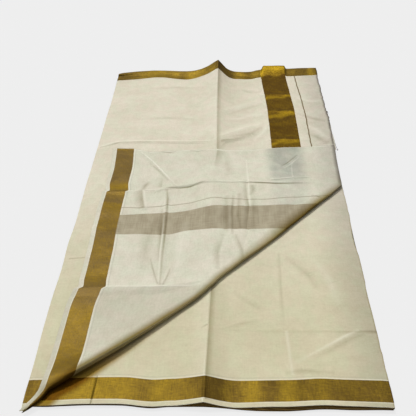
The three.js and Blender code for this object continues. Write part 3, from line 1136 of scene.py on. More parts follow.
def weave_group() -> Tree:
    """Makes the group for plain weave.

    Returns:
        The group, which puts out the threads' height in metres and the tone of thick and thin threads.
    """
    tree, nodes, given, out = new_group("plain weave", {"Cloth": VECTOR}, {"Height": FLOAT, "Tone": FLOAT})
    cloth = given["Cloth"]
    along, across, _ = nodes.split(cloth)
    turns_each_metre = 2.0 * math.pi * THREADS_EACH_METRE
    waves = [nodes.math("SINE", nodes.times(part, turns_each_metre)) for part in (along, across)]
    threads = nodes.times(nodes.times(*waves), 0.00003)
    crumple = nodes.times(nodes.noise(cloth, (24.0, 30.0), 4.0), 0.0036)
    pucker = nodes.times(nodes.noise(cloth, (170.0, 140.0), 2.0), 0.00045)
    nodes.feed(out["Height"], nodes.total(threads, crumple, pucker))
    warp = nodes.noise(cloth, (34.0, 720.0), 4.0)
    weft = nodes.noise(cloth, (720.0, 34.0), 4.0)
    nodes.feed(out["Tone"], nodes.times(nodes.math("ADD", warp, weft), 0.5))
    return tree


def zari_group() -> Tree:
    """Makes the group for gold thread that runs along the first axis.

    Returns:
        The group, which puts out the grain of its glow and its ribs' height.
    """
    tree, nodes, given, out = new_group("zari", {"Thread": VECTOR}, {"Grain": FLOAT, "Height": FLOAT})
    thread = given["Thread"]
    streaks = nodes.noise(thread, (60.0, 700.0), 4.0)
    bars = nodes.noise(thread, (520.0, 50.0), 4.0)
    patches = nodes.noise(thread, (44.0, 30.0), 2.0)
    grain = nodes.total(
        nodes.times(streaks, 0.34),
        nodes.times(bars, 0.3),
        nodes.times(patches, 0.18),
        nodes.times(nodes.noise(thread, (260.0, 300.0), 3.0), 0.18),
    )
    nodes.feed(out["Grain"], grain)
    ribs = nodes.math("SINE", nodes.times(nodes.split(thread)[1], 2.0 * math.pi / RIB_PITCH))
    nodes.feed(out["Height"], nodes.times(ribs, 0.00005))
    return tree


# ---------------------------------------------------------------- finishes


class Face(Enum):
    """Which face of the cloth is up."""

    RIGHT = "right side"
    WRONG = "wrong side"


# Painted reflections on the gold: how bright each border and the band are coloured, place by place.
SECOND_PAINTED_SHEEN = (
    PaintedSheen(-300, 0.4),
    PaintedSheen(-200, 0.5),
    PaintedSheen(-130, 0.4),
    PaintedSheen(-105, 0.12),
    PaintedSheen(-84, 0.45),
    PaintedSheen(-32, 0.22),
    PaintedSheen(-12, 0.08),
    PaintedSheen(16, 0.0),
    PaintedSheen(30, 0.28),
    PaintedSheen(44, 0.12),
    PaintedSheen(70, 0.5),
    PaintedSheen(102, 0.05),
    PaintedSheen(134, 0.55),
    PaintedSheen(154, 0.2),
    PaintedSheen(184, 0.32),
    PaintedSheen(206, 0.14),
    PaintedSheen(300, 0.1),
)
TOP_PAINTED_SHEEN = (
    PaintedSheen(-300, 0.1),
    PaintedSheen(-268, 0.12),
    PaintedSheen(-200, 0.5),
    PaintedSheen(-130, 0.45),
    PaintedSheen(-108, 0.2),
    PaintedSheen(-80, 0.6),
    PaintedSheen(-18, 0.35),
    PaintedSheen(3, 0.0),
    PaintedSheen(40, 0.15),
    PaintedSheen(62, 0.6),
    PaintedSheen(97, 0.2),
    PaintedSheen(122, 0.45),
    PaintedSheen(215, 0.25),
    PaintedSheen(276, 0.12),
    PaintedSheen(289, 0.7),
    PaintedSheen(300, 0.4),
)
BAND_PAINTED_SHEEN = (
    PaintedSheen(740, 0.14),
    PaintedSheen(762, 0.1),
    PaintedSheen(775, 0.62),
    PaintedSheen(790, 0.08),
    PaintedSheen(844, 0.0),
    PaintedSheen(866, 0.14),
    PaintedSheen(899, 0.08),
    PaintedSheen(913, 0.65),
    PaintedSheen(930, 0.12),
    PaintedSheen(996, 0.06),
    PaintedSheen(1010, 0.68),
    PaintedSheen(1026, 0.06),
    PaintedSheen(1136, 0.0),
    PaintedSheen(1150, 0.3),
    PaintedSheen(1180, 0.95),
    PaintedSheen(1192, 0.5),
)
FLAP_PAINTED_SHEEN = (
    PaintedSheen(-260, 0.3),
    PaintedSheen(-165, 0.5),
    PaintedSheen(-110, 0.4),
    PaintedSheen(-60, 0.5),
    PaintedSheen(-26, 0.1),
    PaintedSheen(-4, 0.05),
    PaintedSheen(30, 0.5),
    PaintedSheen(64, 0.2),
    PaintedSheen(90, 0.36),
    PaintedSheen(140, 0.1),
    PaintedSheen(170, 0.4),
    PaintedSheen(200, 0.25),
    PaintedSheen(252, 0.5),
    PaintedSheen(262, 0.1),
    PaintedSheen(300, 0.3),
    PaintedSheen(316, 0.7),
    PaintedSheen(345, 0.1),
    PaintedSheen(465, 0.12),
    PaintedSheen(480, 0.4),
)


@dataclass(frozen=True)
class Loom:
    """One material's nodes, with the places on the flat cloth that its stripes follow."""

    nodes: Nodes
    groups: dict[str, Tree]
    cloth: Socket
    along: Socket
    across: Socket
    inward: Socket

    def stripe(self, value: Socket, ends: Span, soft: float = 0.0007) -> Socket:
        """The mask of one stripe between two places, with soft edges."""
        group = self.groups["stripe"]
        return self.nodes.group(group, Value=value, Low=ends[0], High=ends[1], Soft=soft).outputs[0]


class Gold(NamedTuple):
    """Gold thread on a stretch: the cotton beside it, its own colour, its mask and its ribs' height."""

    cotton: Socket
    colour: Socket
    mask: Socket
    ribs: Socket


@dataclass(frozen=True)
class ClothFinish:
    """Cream cotton with its woven gold: the colours, where the stripes lie, and painted light and shade."""

    name: str
    face: Face = Face.RIGHT
    border_painted_sheen: tuple[PaintedSheen, ...] = SECOND_PAINTED_SHEEN
    has_band: bool = False
    cream: Rgb = (230, 223, 206)
    shade: Rgb = (209, 202, 181)
    near_cream: Rgb = (215, 209, 180)
    near_shade: Rgb = (199, 191, 161)
    pale: Rgb = (236, 231, 212)
    crest_highlight: Rgb = (252, 249, 232)
    grey: Rgb = (176, 172, 156)
    # Dull and bright gold, mixed along the thread by its painted reflection.
    gold_bright: Rgb = (162, 133, 36)
    gold_dull: Rgb = (98, 77, 30)
    band_bright: Rgb = (170, 138, 26)
    band_dull: Rgb = (91, 66, 14)
    veiled: Rgb = (178, 168, 143)
    veiled_dark: Rgb = (149, 137, 112)
    fold_shade_tint: Rgba = (0.43, 0.28, 0.035, 1.0)
    pressed: tuple[Pressed, ...] = ()
    border: Span = (0.0095, 0.0525)
    pale_strip: Span = (0.0525, 0.055)
    grey_strip: Span = (0.0572, 0.0584)
    selvedge_lines: tuple[Span, ...] = ((-0.001, 0.0012), (0.0078, 0.0095))
    band: Span = (0.138, 0.2125)
    line: Span = (0.2382, 0.2412)
    line_soft: float = 0.0008
    pale_share: float = 0.42
    grey_share: float = 0.45
    line_share: float = 0.9
    veil_share: float = 0.92
    veiled_line_share: float = 0.6
    crest_highlight_share: float = 0.42
    trough_shade_share: float = 0.75
    trough_shade_tint: Rgba = (0.46, 0.43, 0.33, 1.0)
    edge_shade_tint: Rgba = (0.22, 0.2, 0.21, 1.0)
    metal_share: float = 0.5
    cotton_rough: float = 0.92
    gold_rough: float = 0.5
    gloss: float = 0.05
    bump: float = 0.7
    # Painted shade towards the right side.
    side_shade_reach: Span = (0.2, 0.3)
    side_shade_share: float = 0.48
    side_shade_tint: Rgba = (0.5, 0.5, 0.54, 1.0)
    through_left: Span = (0.114, 0.15)
    through_right: Span = (0.196, 0.234)
    through_tint: Rgba = (0.63, 0.66, 0.68, 1.0)
    # Painted shade on the flap past its crease line.
    beyond_crease_shade_tint: Rgba = (0.87, 0.86, 0.84, 1.0)
    rosy_tint: Rgba = (1.0, 0.96, 0.935, 1.0)
    green_tint: Rgba = (0.955, 1.0, 0.935, 1.0)
    tint_share: float = 0.55
    grain_contrast: float = 2.6

    def make(self, groups: dict[str, Tree]) -> Material:
        """Builds the material, which reads the piece's own cloth UV map.

        Args:
            groups: The shader node groups by name.

        Returns:
            The material.
        """
        material, nodes, shader = new_material(self.name)
        cloth = nodes.add("ShaderNodeUVMap", uv_map="cloth").outputs[0]
        place = nodes.vector("SUBTRACT", nodes.add("ShaderNodeTexCoord").outputs["Object"], tuple(PLACE))
        along, across, _ = nodes.split(cloth)
        inward = nodes.math("MINIMUM", across, nodes.math("SUBTRACT", CLOTH_WIDTH * MM, across))
        loom = Loom(nodes, groups, cloth, along, across, inward)
        weave = nodes.group(groups["weave"], Cloth=cloth)
        ridges, troughs = self.creases(nodes, groups["crease"], place)
        cotton = self.painted_shade_and_show_through(nodes, self.cotton(nodes, cloth, across, weave.outputs["Tone"]), place, along)
        gold = self.border_gold(loom, self.selvedge(loom, cotton))
        if self.has_band:
            gold = self.pallu(loom, gold)
        colour = nodes.mix(gold.mask, gold.cotton, gold.colour)
        colour = self.pressed_and_folded(nodes, colour, gold.mask, ridges, troughs)
        nodes.feed(shader.inputs["Base Color"], colour)
        nodes.feed(shader.inputs["Metallic"], nodes.times(gold.mask, self.metal_share))
        nodes.feed(shader.inputs["Roughness"], nodes.blend(gold.mask, self.cotton_rough, self.gold_rough))
        shader.inputs["Specular IOR Level"].default_value = self.gloss
        bump = nodes.add("ShaderNodeBump")
        bump.inputs["Strength"].default_value = self.bump
        bump.inputs["Distance"].default_value = 1.0
        pressed = nodes.times(nodes.math("ADD", ridges, troughs), MM)
        ribs = nodes.times(gold.ribs, gold.mask)
        nodes.feed(bump.inputs["Height"], nodes.total(weave.outputs["Height"], ribs, pressed))
        nodes.feed(shader.inputs["Normal"], bump.outputs[0])
        return material

    def selvedge(self, loom: Loom, colour: Socket) -> Socket:
        """Adds the pale and grey lines that lie beside the border's gold.

        Args:
            loom: The material's nodes and places.
            colour: The cotton's colour.

        Returns:
            The colour with its lines.
        """
        nodes = loom.nodes
        pale = loom.stripe(loom.inward, self.pale_strip)
        for ends in self.selvedge_lines:
            pale = nodes.math("MAXIMUM", pale, loom.stripe(loom.inward, ends))
        colour = nodes.mix(nodes.times(pale, self.pale_share), colour, to_linear(*self.pale))
        grey = nodes.times(loom.stripe(loom.inward, self.grey_strip), self.grey_share)
        return nodes.mix(grey, colour, to_linear(*self.grey))

    def border_gold(self, loom: Loom, cotton: Socket) -> Gold:
        """Weaves the gold border along both selvedges, with its painted reflection.

        Args:
            loom: The material's nodes and places.
            cotton: The colour of the cotton beside it.

        Returns:
            The gold.
        """
        zari = loom.nodes.group(loom.groups["zari"], Thread=loom.cloth)
        glow = loom.nodes.painted_sheen(loom.along, self.border_painted_sheen)
        colour = self.metal(loom.nodes, glow, zari.outputs["Grain"], (self.gold_dull, self.gold_bright))
        return Gold(cotton, colour, loom.stripe(loom.inward, self.border), zari.outputs["Height"])

    def pallu(self, loom: Loom, border: Gold) -> Gold:
        """Adds the broad band and the thin line at the cloth's end, as the face that is up shows them.

        Args:
            loom: The material's nodes and places.
            border: The gold of the borders.

        Returns:
            The gold of both.
        """
        nodes = loom.nodes
        band = loom.stripe(loom.along, self.band)
        inside = nodes.math("GREATER_THAN", loom.inward, self.border[1])
        waver = nodes.math("SUBTRACT", nodes.noise(loom.cloth, (3.0, 40.0), 2.0), 0.5)
        wavering = nodes.math("ADD", loom.along, nodes.times(waver, 0.004))
        line = nodes.times(loom.stripe(wavering, self.line, self.line_soft), inside)
        if self.face is Face.WRONG:
            return self.veiled_pallu(loom, border, nodes.times(band, inside), line)
        turned = nodes.add("ShaderNodeCombineXYZ")
        nodes.feed(turned.inputs[0], loom.across)
        nodes.feed(turned.inputs[1], loom.along)
        weft = nodes.group(loom.groups["zari"], Thread=turned.outputs[0])
        aslant = nodes.math("MULTIPLY_ADD", loom.along, -0.25, 0.044)
        sway = nodes.math("MULTIPLY_ADD", nodes.noise(loom.cloth, (22.0, 12.0), 1.0), 0.06, -0.03)
        # The band's bright streaks are painted reflections, slanting and swaying across it.
        glow = nodes.painted_sheen(nodes.total(loom.across, aslant, sway), BAND_PAINTED_SHEEN)
        colour = self.metal(nodes, glow, weft.outputs["Grain"], (self.band_dull, self.band_bright))
        lined = nodes.mix(nodes.times(line, self.line_share), border.cotton, to_linear(*self.gold_dull))
        return Gold(
            cotton=lined,
            colour=nodes.mix(band, border.colour, colour),
            mask=nodes.math("MAXIMUM", border.mask, band),
            ribs=nodes.blend(band, border.ribs, weft.outputs["Height"]),
        )

    def veiled_pallu(self, loom: Loom, border: Gold, band: Socket, line: Socket) -> Gold:
        """Dims the band and the line to what shows through on the wrong side.

        Args:
            loom: The material's nodes and places.
            border: The gold of the borders.
            band: The band's mask.
            line: The line's mask.

        Returns:
            The gold of the borders, with the band and the line in its cotton.
        """
        nodes, cloth = loom.nodes, loom.cloth
        threads = nodes.math("ADD", nodes.noise(cloth, (14.0, 480.0)), nodes.noise(cloth, (480.0, 30.0)))
        cloud = nodes.noise(cloth, (24.0, 46.0))
        uneven = nodes.math("MULTIPLY_ADD", cloud, 0.8, nodes.times(threads, 0.6))
        dim = to_linear(*self.veiled_dark)
        veiled = nodes.mix(nodes.step(uneven, 0.68, 1.32), dim, to_linear(*self.veiled))
        cotton = nodes.mix(nodes.times(band, self.veil_share), border.cotton, veiled)
        cotton = nodes.mix(nodes.times(line, self.veiled_line_share), cotton, dim)
        return border._replace(cotton=cotton)

    def pressed_and_folded(
        self, nodes: Nodes, colour: Socket, metal: Socket, ridges: Socket, troughs: Socket
    ) -> Socket:
        """Paints a highlight on the pressed ridges, shade in the troughs, and shade where the cloth turns a
        fold or lies at an open edge.

        Args:
            nodes: The material's nodes.
            colour: The cloth's colour.
            metal: The gold's mask, which takes no painted highlight from a ridge.
            ridges: The ridges' height in millimetres.
            troughs: The troughs' height in millimetres, below 0.

        Returns:
            The colour with its painted highlight and shade.
        """
        # Painted highlight along the pressed ridges, which the gold doesn't take.
        lit = nodes.times(ridges, nodes.blend(metal, self.crest_highlight_share, 0.0), clamp=True)
        colour = nodes.mix(lit, colour, to_linear(*self.crest_highlight))
        # Painted shade in the pressed troughs.
        deep = nodes.times(troughs, -self.trough_shade_share, clamp=True)
        colour = nodes.mix(deep, colour, self.trough_shade_tint, "MULTIPLY")
        # Painted shade from the fold UV map: warm round folds, grey at open edges.
        shade, edge, _ = nodes.split(nodes.add("ShaderNodeUVMap", uv_map="fold").outputs[0])
        colour = nodes.mix(shade, colour, self.fold_shade_tint, "MULTIPLY")
        return nodes.mix(edge, colour, self.edge_shade_tint, "MULTIPLY")

    def creases(self, nodes: Nodes, crease: Tree, place: Socket) -> tuple[Socket, Socket]:
        """Finds the height of the pressed creases at a place.

        Args:
            nodes: The material's nodes.
            crease: The group for one straight crease.
            place: The place on the pile, in metres.

        Returns:
            The ridges' height and the troughs', in millimetres.
        """
        flat = nodes.vector("MULTIPLY", place, (1.0 / MM, 1.0 / MM, 0.0))
        ridges = nodes.times(0.0, 0.0)
        troughs = nodes.times(0.0, 0.0)
        for line in self.pressed:
            for (ax, ay, ah), (bx, by, bh) in zip(line.points, line.points[1:]):
                dx, dy = bx - ax, by - ay
                length = math.hypot(dx, dy)
                height = nodes.group(
                    crease,
                    Place=flat,
                    Start=(ax, ay, 0.0),
                    Step=(dx / length**2, dy / length**2, 0.0),
                    Side=(-dy / length, dx / length, 0.0),
                    First=ah,
                    Change=bh - ah,
                    Left=-1.0 / line.left,
                    Right=1.0 / line.right,
                ).outputs[0]
                if ah > 0:
                    ridges = nodes.math("MAXIMUM", ridges, height)
                else:
                    troughs = nodes.math("MINIMUM", troughs, height)
        return ridges, troughs

    def painted_shade_and_show_through(self, nodes: Nodes, colour: Socket, place: Socket, along: Socket) -> Socket:
        """Paints shade on the cotton towards the right side, adds what shows through it, and paints shade
        on the flap past its crease line, towards the bend.

        Args:
            nodes: The material's nodes.
            colour: The cotton's colour.
            place: The place on the pile, in metres.
            along: The place along the flat cloth, in metres.

        Returns:
            The colour with its painted shade and what shows through it.
        """
        x, y, _ = nodes.split(place)
        # Painted shade towards the right side.
        side = nodes.times(nodes.step(x, *self.side_shade_reach), self.side_shade_share)
        colour = nodes.mix(side, colour, self.side_shade_tint, "MULTIPLY")
        if self.face is Face.RIGHT:
            return colour
        right = nodes.math("SUBTRACT", 1.0, nodes.step(x, *self.through_right))
        between = nodes.times(nodes.step(x, *self.through_left), right)
        uneven = nodes.step(nodes.noise(place, (30.0, 30.0), 2.0), 0.3, 0.6)
        band_below = nodes.times(between, nodes.blend(uneven, 0.7, 1.0))
        near = nodes.blend(nodes.step(y, -0.03, 0.05), 0.4, 1.0)
        colour = nodes.mix(nodes.times(band_below, near), colour, self.through_tint, "MULTIPLY")
        # Painted shade on the flap past its crease line, towards the bend.
        beyond = nodes.math("SUBTRACT", 1.0, nodes.step(along, -0.012, 0.002))
        return nodes.mix(beyond, colour, self.beyond_crease_shade_tint, "MULTIPLY")

    def cotton(self, nodes: Nodes, cloth: Socket, across: Socket, tone: Socket) -> Socket:
        """Makes the plain cotton's colour: uneven threads, slow clouds, and yellower to the near side.

        Args:
            nodes: The material's nodes.
            cloth: The place on the flat cloth, in metres.
            across: The distance from the near selvedge, in metres.
            tone: The tone of thick and thin threads.

        Returns:
            The colour.
        """
        thread = nodes.step(tone, 0.4, 0.6)
        cloud = nodes.step(nodes.noise(cloth, (9.0, 11.0)), 0.3, 0.7)
        speckle = nodes.step(nodes.noise(cloth, (210.0, 250.0), 2.0), 0.35, 0.65)
        mottle = nodes.step(nodes.noise(cloth, (58.0, 66.0)), 0.32, 0.68)
        share = nodes.total(
            nodes.times(thread, 0.22),
            nodes.times(cloud, 0.34),
            nodes.times(mottle, 0.22),
            nodes.times(speckle, 0.22),
        )
        far = nodes.mix(share, to_linear(*self.shade), to_linear(*self.cream))
        near = nodes.mix(share, to_linear(*self.near_shade), to_linear(*self.near_cream))
        colour = nodes.mix(nodes.step(across, 0.1, 0.75), near, far)
        hue = nodes.step(nodes.noise(cloth, (31.0, 27.0), 2.0), 0.4, 0.62)
        tint = nodes.mix(hue, self.rosy_tint, self.green_tint)
        return nodes.mix(self.tint_share, colour, tint, "MULTIPLY")

    def metal(self, nodes: Nodes, glow: Socket, grain: Socket, tones: tuple[Rgb, Rgb]) -> Socket:
        """Makes gold thread's colour, with its painted reflection.

        Args:
            nodes: The material's nodes.
            glow: Its painted reflection along the cloth.
            grain: The grain of its threads.
            tones: Its dull and its bright colour.

        Returns:
            The colour.
        """
        rough = nodes.times(nodes.math("SUBTRACT", grain, 0.5), self.grain_contrast)
        lit = nodes.math("ADD", glow, rough, clamp=True)
        return nodes.mix(lit, to_linear(*tones[0]), to_linear(*tones[1]))


@dataclass(frozen=True)
class PileFinish:
    """The hidden layers: cream folds at the sides, and at both ends stacked selvedges in painted shade."""

    name: str = "stacked cotton"
    cream: Rgb = (205, 199, 176)
    # Painted shade over the stacked edges: brown, and darker between the layers.
    shaded_brown: Rgb = (166, 134, 68)
    dark: Rgb = (96, 72, 28)
    layer: float = 0.00066
    ends: Span = (0.545, 0.59)
    rough: float = 0.92

    def make(self) -> Material:
        """Builds the material, which reads the piece's own place.

        Returns:
            The material.
        """
        material, nodes, shader = new_material(self.name)
        _, y, z = nodes.split(nodes.add("ShaderNodeTexCoord").outputs["Object"])
        # At both ends the cream gives way to painted shade: brown, striped darker between the stacked
        # layers.
        end = nodes.step(nodes.math("ABSOLUTE", nodes.math("SUBTRACT", y, PLACE.y)), *self.ends)
        wave = nodes.math("SINE", nodes.times(z, 2.0 * math.pi / self.layer))
        shaded_brown = nodes.mix(nodes.step(wave, -0.6, 0.8), to_linear(*self.dark), to_linear(*self.shaded_brown))
        colour = nodes.mix(end, to_linear(*self.cream), shaded_brown)
        nodes.feed(shader.inputs["Base Color"], colour)
        shader.inputs["Roughness"].default_value = self.rough
        return material


@dataclass(frozen=True)
class ThreadFinish:
    """Loose threads: one plain colour that wanders a little along them."""

    name: str
    light: Rgb
    dark: Rgb
    rough: float = 0.8

    def make(self) -> Material:
        """Builds the material, which reads the piece's own place.

        Returns:
            The material.
        """
        material, nodes, shader = new_material(self.name)
        place = nodes.add("ShaderNodeTexCoord").outputs["Object"]
        tone = nodes.step(nodes.noise(place, (300.0, 300.0)), 0.3, 0.7)
        colour = nodes.mix(tone, to_linear(*self.dark), to_linear(*self.light))
        nodes.feed(shader.inputs["Base Color"], colour)
        shader.inputs["Roughness"].default_value = self.rough
        return material


# ---------------------------------------------------------------- stretches


@dataclass
class Stretch:
    """What every stretch of the cloth shares: its form, its node, its slot and its cut."""

    form: PileForm
    name: str
    node: str
    slot: str
    flat: Span
    rests_on: tuple[str, ...] = ()
    area: float | None = None

    def declare(self, piece: Piece, material: Material, extras: Sequence[Piece] = ()) -> Piece:
        """Dresses a sheet, hides the part that it stands for, and hangs it on the root.

        Args:
            piece: The sheet.
            material: Its finish.
            extras: Not used.

        Returns:
            The sheet.
        """
        piece.data.materials.append(material)
        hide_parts(self.node)
        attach(piece, "root")
        LOG.info("%s: %d faces", piece.name, len(piece.data.polygons))
        return piece


@dataclass
class SecondStretch(Stretch):
    """The second layer, whose near right half shows."""

    left: float = -294.0
    right: float = 298.0
    roll: float = 4.0
    columns: int = 150
    rows: int = 290
    column_spots: Triples = ((0, 16, 3), (300, 8, 6), (-189, 6, 5), (135, 10, 2))
    row_spots: Triples = ((-600, 60, 2.5), (-446, 14, 3), (-300, 300, 1.5))
    side_sag: float = 0.9
    # Painted shade down the folded right side.
    side_dim: float = 0.7
    corner_in: float = 3.0
    # Painted warm shade beside the bend, by place across the cloth.
    shade_places: tuple[float, ...] = (-612, -590, -545, -490, -430, -330, -143, 0, 20)
    bend_shade: tuple[float, ...] = (0.8, 1.0, 0.95, 0.6, 0.2, 0.1, 0.1, 0.1, 0.0)
    shade_reach: tuple[float, ...] = (9.0, 17.0, 17.0, 11.0, 6.0, 5.0, 5.0, 5.0, 5.0)

    def shading(self, x: Array, y: Array) -> Array:
        """Finds how deep each point lies in the painted warm shade: beside the bend, and down the folded
        side.

        Args:
            x: Places along the cloth.
            y: Places across the cloth.

        Returns:
            The painted shade, from 0 to 1.
        """
        bend_x, lift, _ = bend_at(y)
        apart = (x - bend_x - lift * BEND_SPREAD) * 0.7
        depth = flowing(y, self.shade_places, self.bend_shade)
        reach = flowing(y, self.shade_places, self.shade_reach)
        side = self.side_dim * smooth(x, self.right - 3.5, self.right + 2.0)
        return np.maximum(side, depth * (1.0 - smooth(apart, 0.35 * reach - 4.0, reach)))

    def build(self, material: Material) -> Piece:
        """Builds the layer as one sheet.

        Args:
            material: Its finish.

        Returns:
            The piece.
        """
        flat_x, y = np.meshgrid(
            graded(self.left, self.right + self.roll, self.columns, self.column_spots),
            graded(-HALF_LENGTH, HALF_LENGTH, self.rows, self.row_spots),
        )
        x, over = turned_down(flat_x, self.left, self.right)
        wave = 1.3 * wander(y, 11, 90.0) + 0.6 * wander(y, 12, 15.0)
        side = smooth(x, self.right - 14.0, self.right)
        z = self.form.second(x, y) - self.side_sag * side - over + 0.5 * wander(y, 13, 22.0) * side
        stray = self.form.strayed(x, y, self.corner_in) + wave * smooth(x, 240.0, 300.0)
        place = stacked(stray, self.form.settled(x, y), z)
        weave = np.stack([flat_x, across_the_cloth(place)], axis=-1)
        return self.declare(cloth_sheet(self.name, place, weave, self.shading(flat_x, y)), material)


@dataclass
class TopStretch(Stretch):
    """The top layer with its face up: all that the turned corner leaves."""

    columns: int = 150
    rows: int = 290
    seam: float = 1.2
    roll: float = 4.0
    left_sag: float = 0.8
    hem_slope: float = 0.95
    corner_out: float = -6.0
    corner_shift: float = 13.0
    open_from: float = 172.0
    # Painted grey shade along the open right edge: how far in it reaches and how deep it is.
    edge_reach: float = 8.0
    edge_shade_share: float = 0.9
    column_spots: Triples = (
        (0.5, 0.025, 2.5),
        (0.0, 0.012, 6.0),
        (1.0, 0.012, 6.0),
        (0.725, 0.015, 2.0),
        (0.84, 0.015, 2.0),
    )
    row_spots: Triples = (
        (175, 30, 2.0),
        (HALF_LENGTH, 40, 4),
        (420, 220, 1.5),
        (-HALF_LENGTH, 40, 1.5),
    )

    def right_edge(self, y: Array) -> Array:
        """Finds where the layer's right side ends: at its fold, or where it goes round the bend.

        Args:
            y: Places across the cloth.

        Returns:
            The edge's x.
        """
        bend_x, lift, _ = bend_at(y)
        by_bend = bend_x - np.maximum(lift * BEND_SPREAD, LEAST_REACH) - self.seam
        open_right = flowing(y, *zip(*OPEN_RIGHT)) + 0.9 * wander(y, 21, 17.0) + 0.6 * wander(y, 22, 8.0)
        return np.where(y < -6.0, by_bend, np.where(y < self.open_from, 294.0, open_right))

    def drift(self, y: Array) -> Array:
        """How far the pallu band strays from a straight weft line, as the cloth was laid askew."""
        return flowing(y, *zip(*PALLU_DRIFT))

    def build(self, material: Material) -> Piece:
        """Builds the layer as one sheet.

        Args:
            material: Its finish.

        Returns:
            The piece.
        """
        roll = self.roll / (2.0 * HALF_WIDTH)
        share, flat_y = np.meshgrid(
            graded(-roll, 1.0 + roll, self.columns, self.column_spots),
            graded(-HALF_LENGTH, HALF_LENGTH + SELVEDGE, self.rows, self.row_spots),
        )
        inner, past = turned_down(share, 0.0, 1.0)
        y, hem = turned_down(flat_y, -HALF_LENGTH, HALF_LENGTH)
        near = 1.0 - smooth(y, -HALF_LENGTH, -HALF_LENGTH + self.form.near_blend)
        x = -HALF_WIDTH + inner * (self.right_edge(y - self.corner_shift * near) + HALF_WIDTH)
        rolled = np.where(np.logical_and(share > 0.5, y < self.open_from), 0.0, 1.0)
        drop = past * 2.0 * HALF_WIDTH * rolled + self.hem_slope * hem
        sag = self.left_sag * (1.0 - smooth(x, -HALF_WIDTH, -HALF_WIDTH + 10.0))
        open_side = smooth(x, 286.0, 301.0) * smooth(y, 175.0, 190.0)
        z = self.form.top(x, y) - sag - drop + 0.7 * wander(y, 23, 19.0) * open_side
        across = self.form.settled(x, y, self.corner_out) + 0.4 * smooth(hem, 0.0, 2.0)
        place = stacked(self.form.strayed(x, y), across, np.maximum(z, LEAST_HEIGHT))
        weave = np.stack([x + self.drift(y) * smooth(x, 60.0, 130.0), across_the_cloth(place)], axis=-1)
        # Painted grey shade along the open right edge.
        beside = smooth(share, 1.0 - self.edge_reach / (2.0 * HALF_WIDTH), 1.0)
        edge = self.edge_shade_share * beside * smooth(y, self.open_from, self.open_from + 8.0)
        return self.declare(cloth_sheet(self.name, place, weave, 0.0, edge), material)


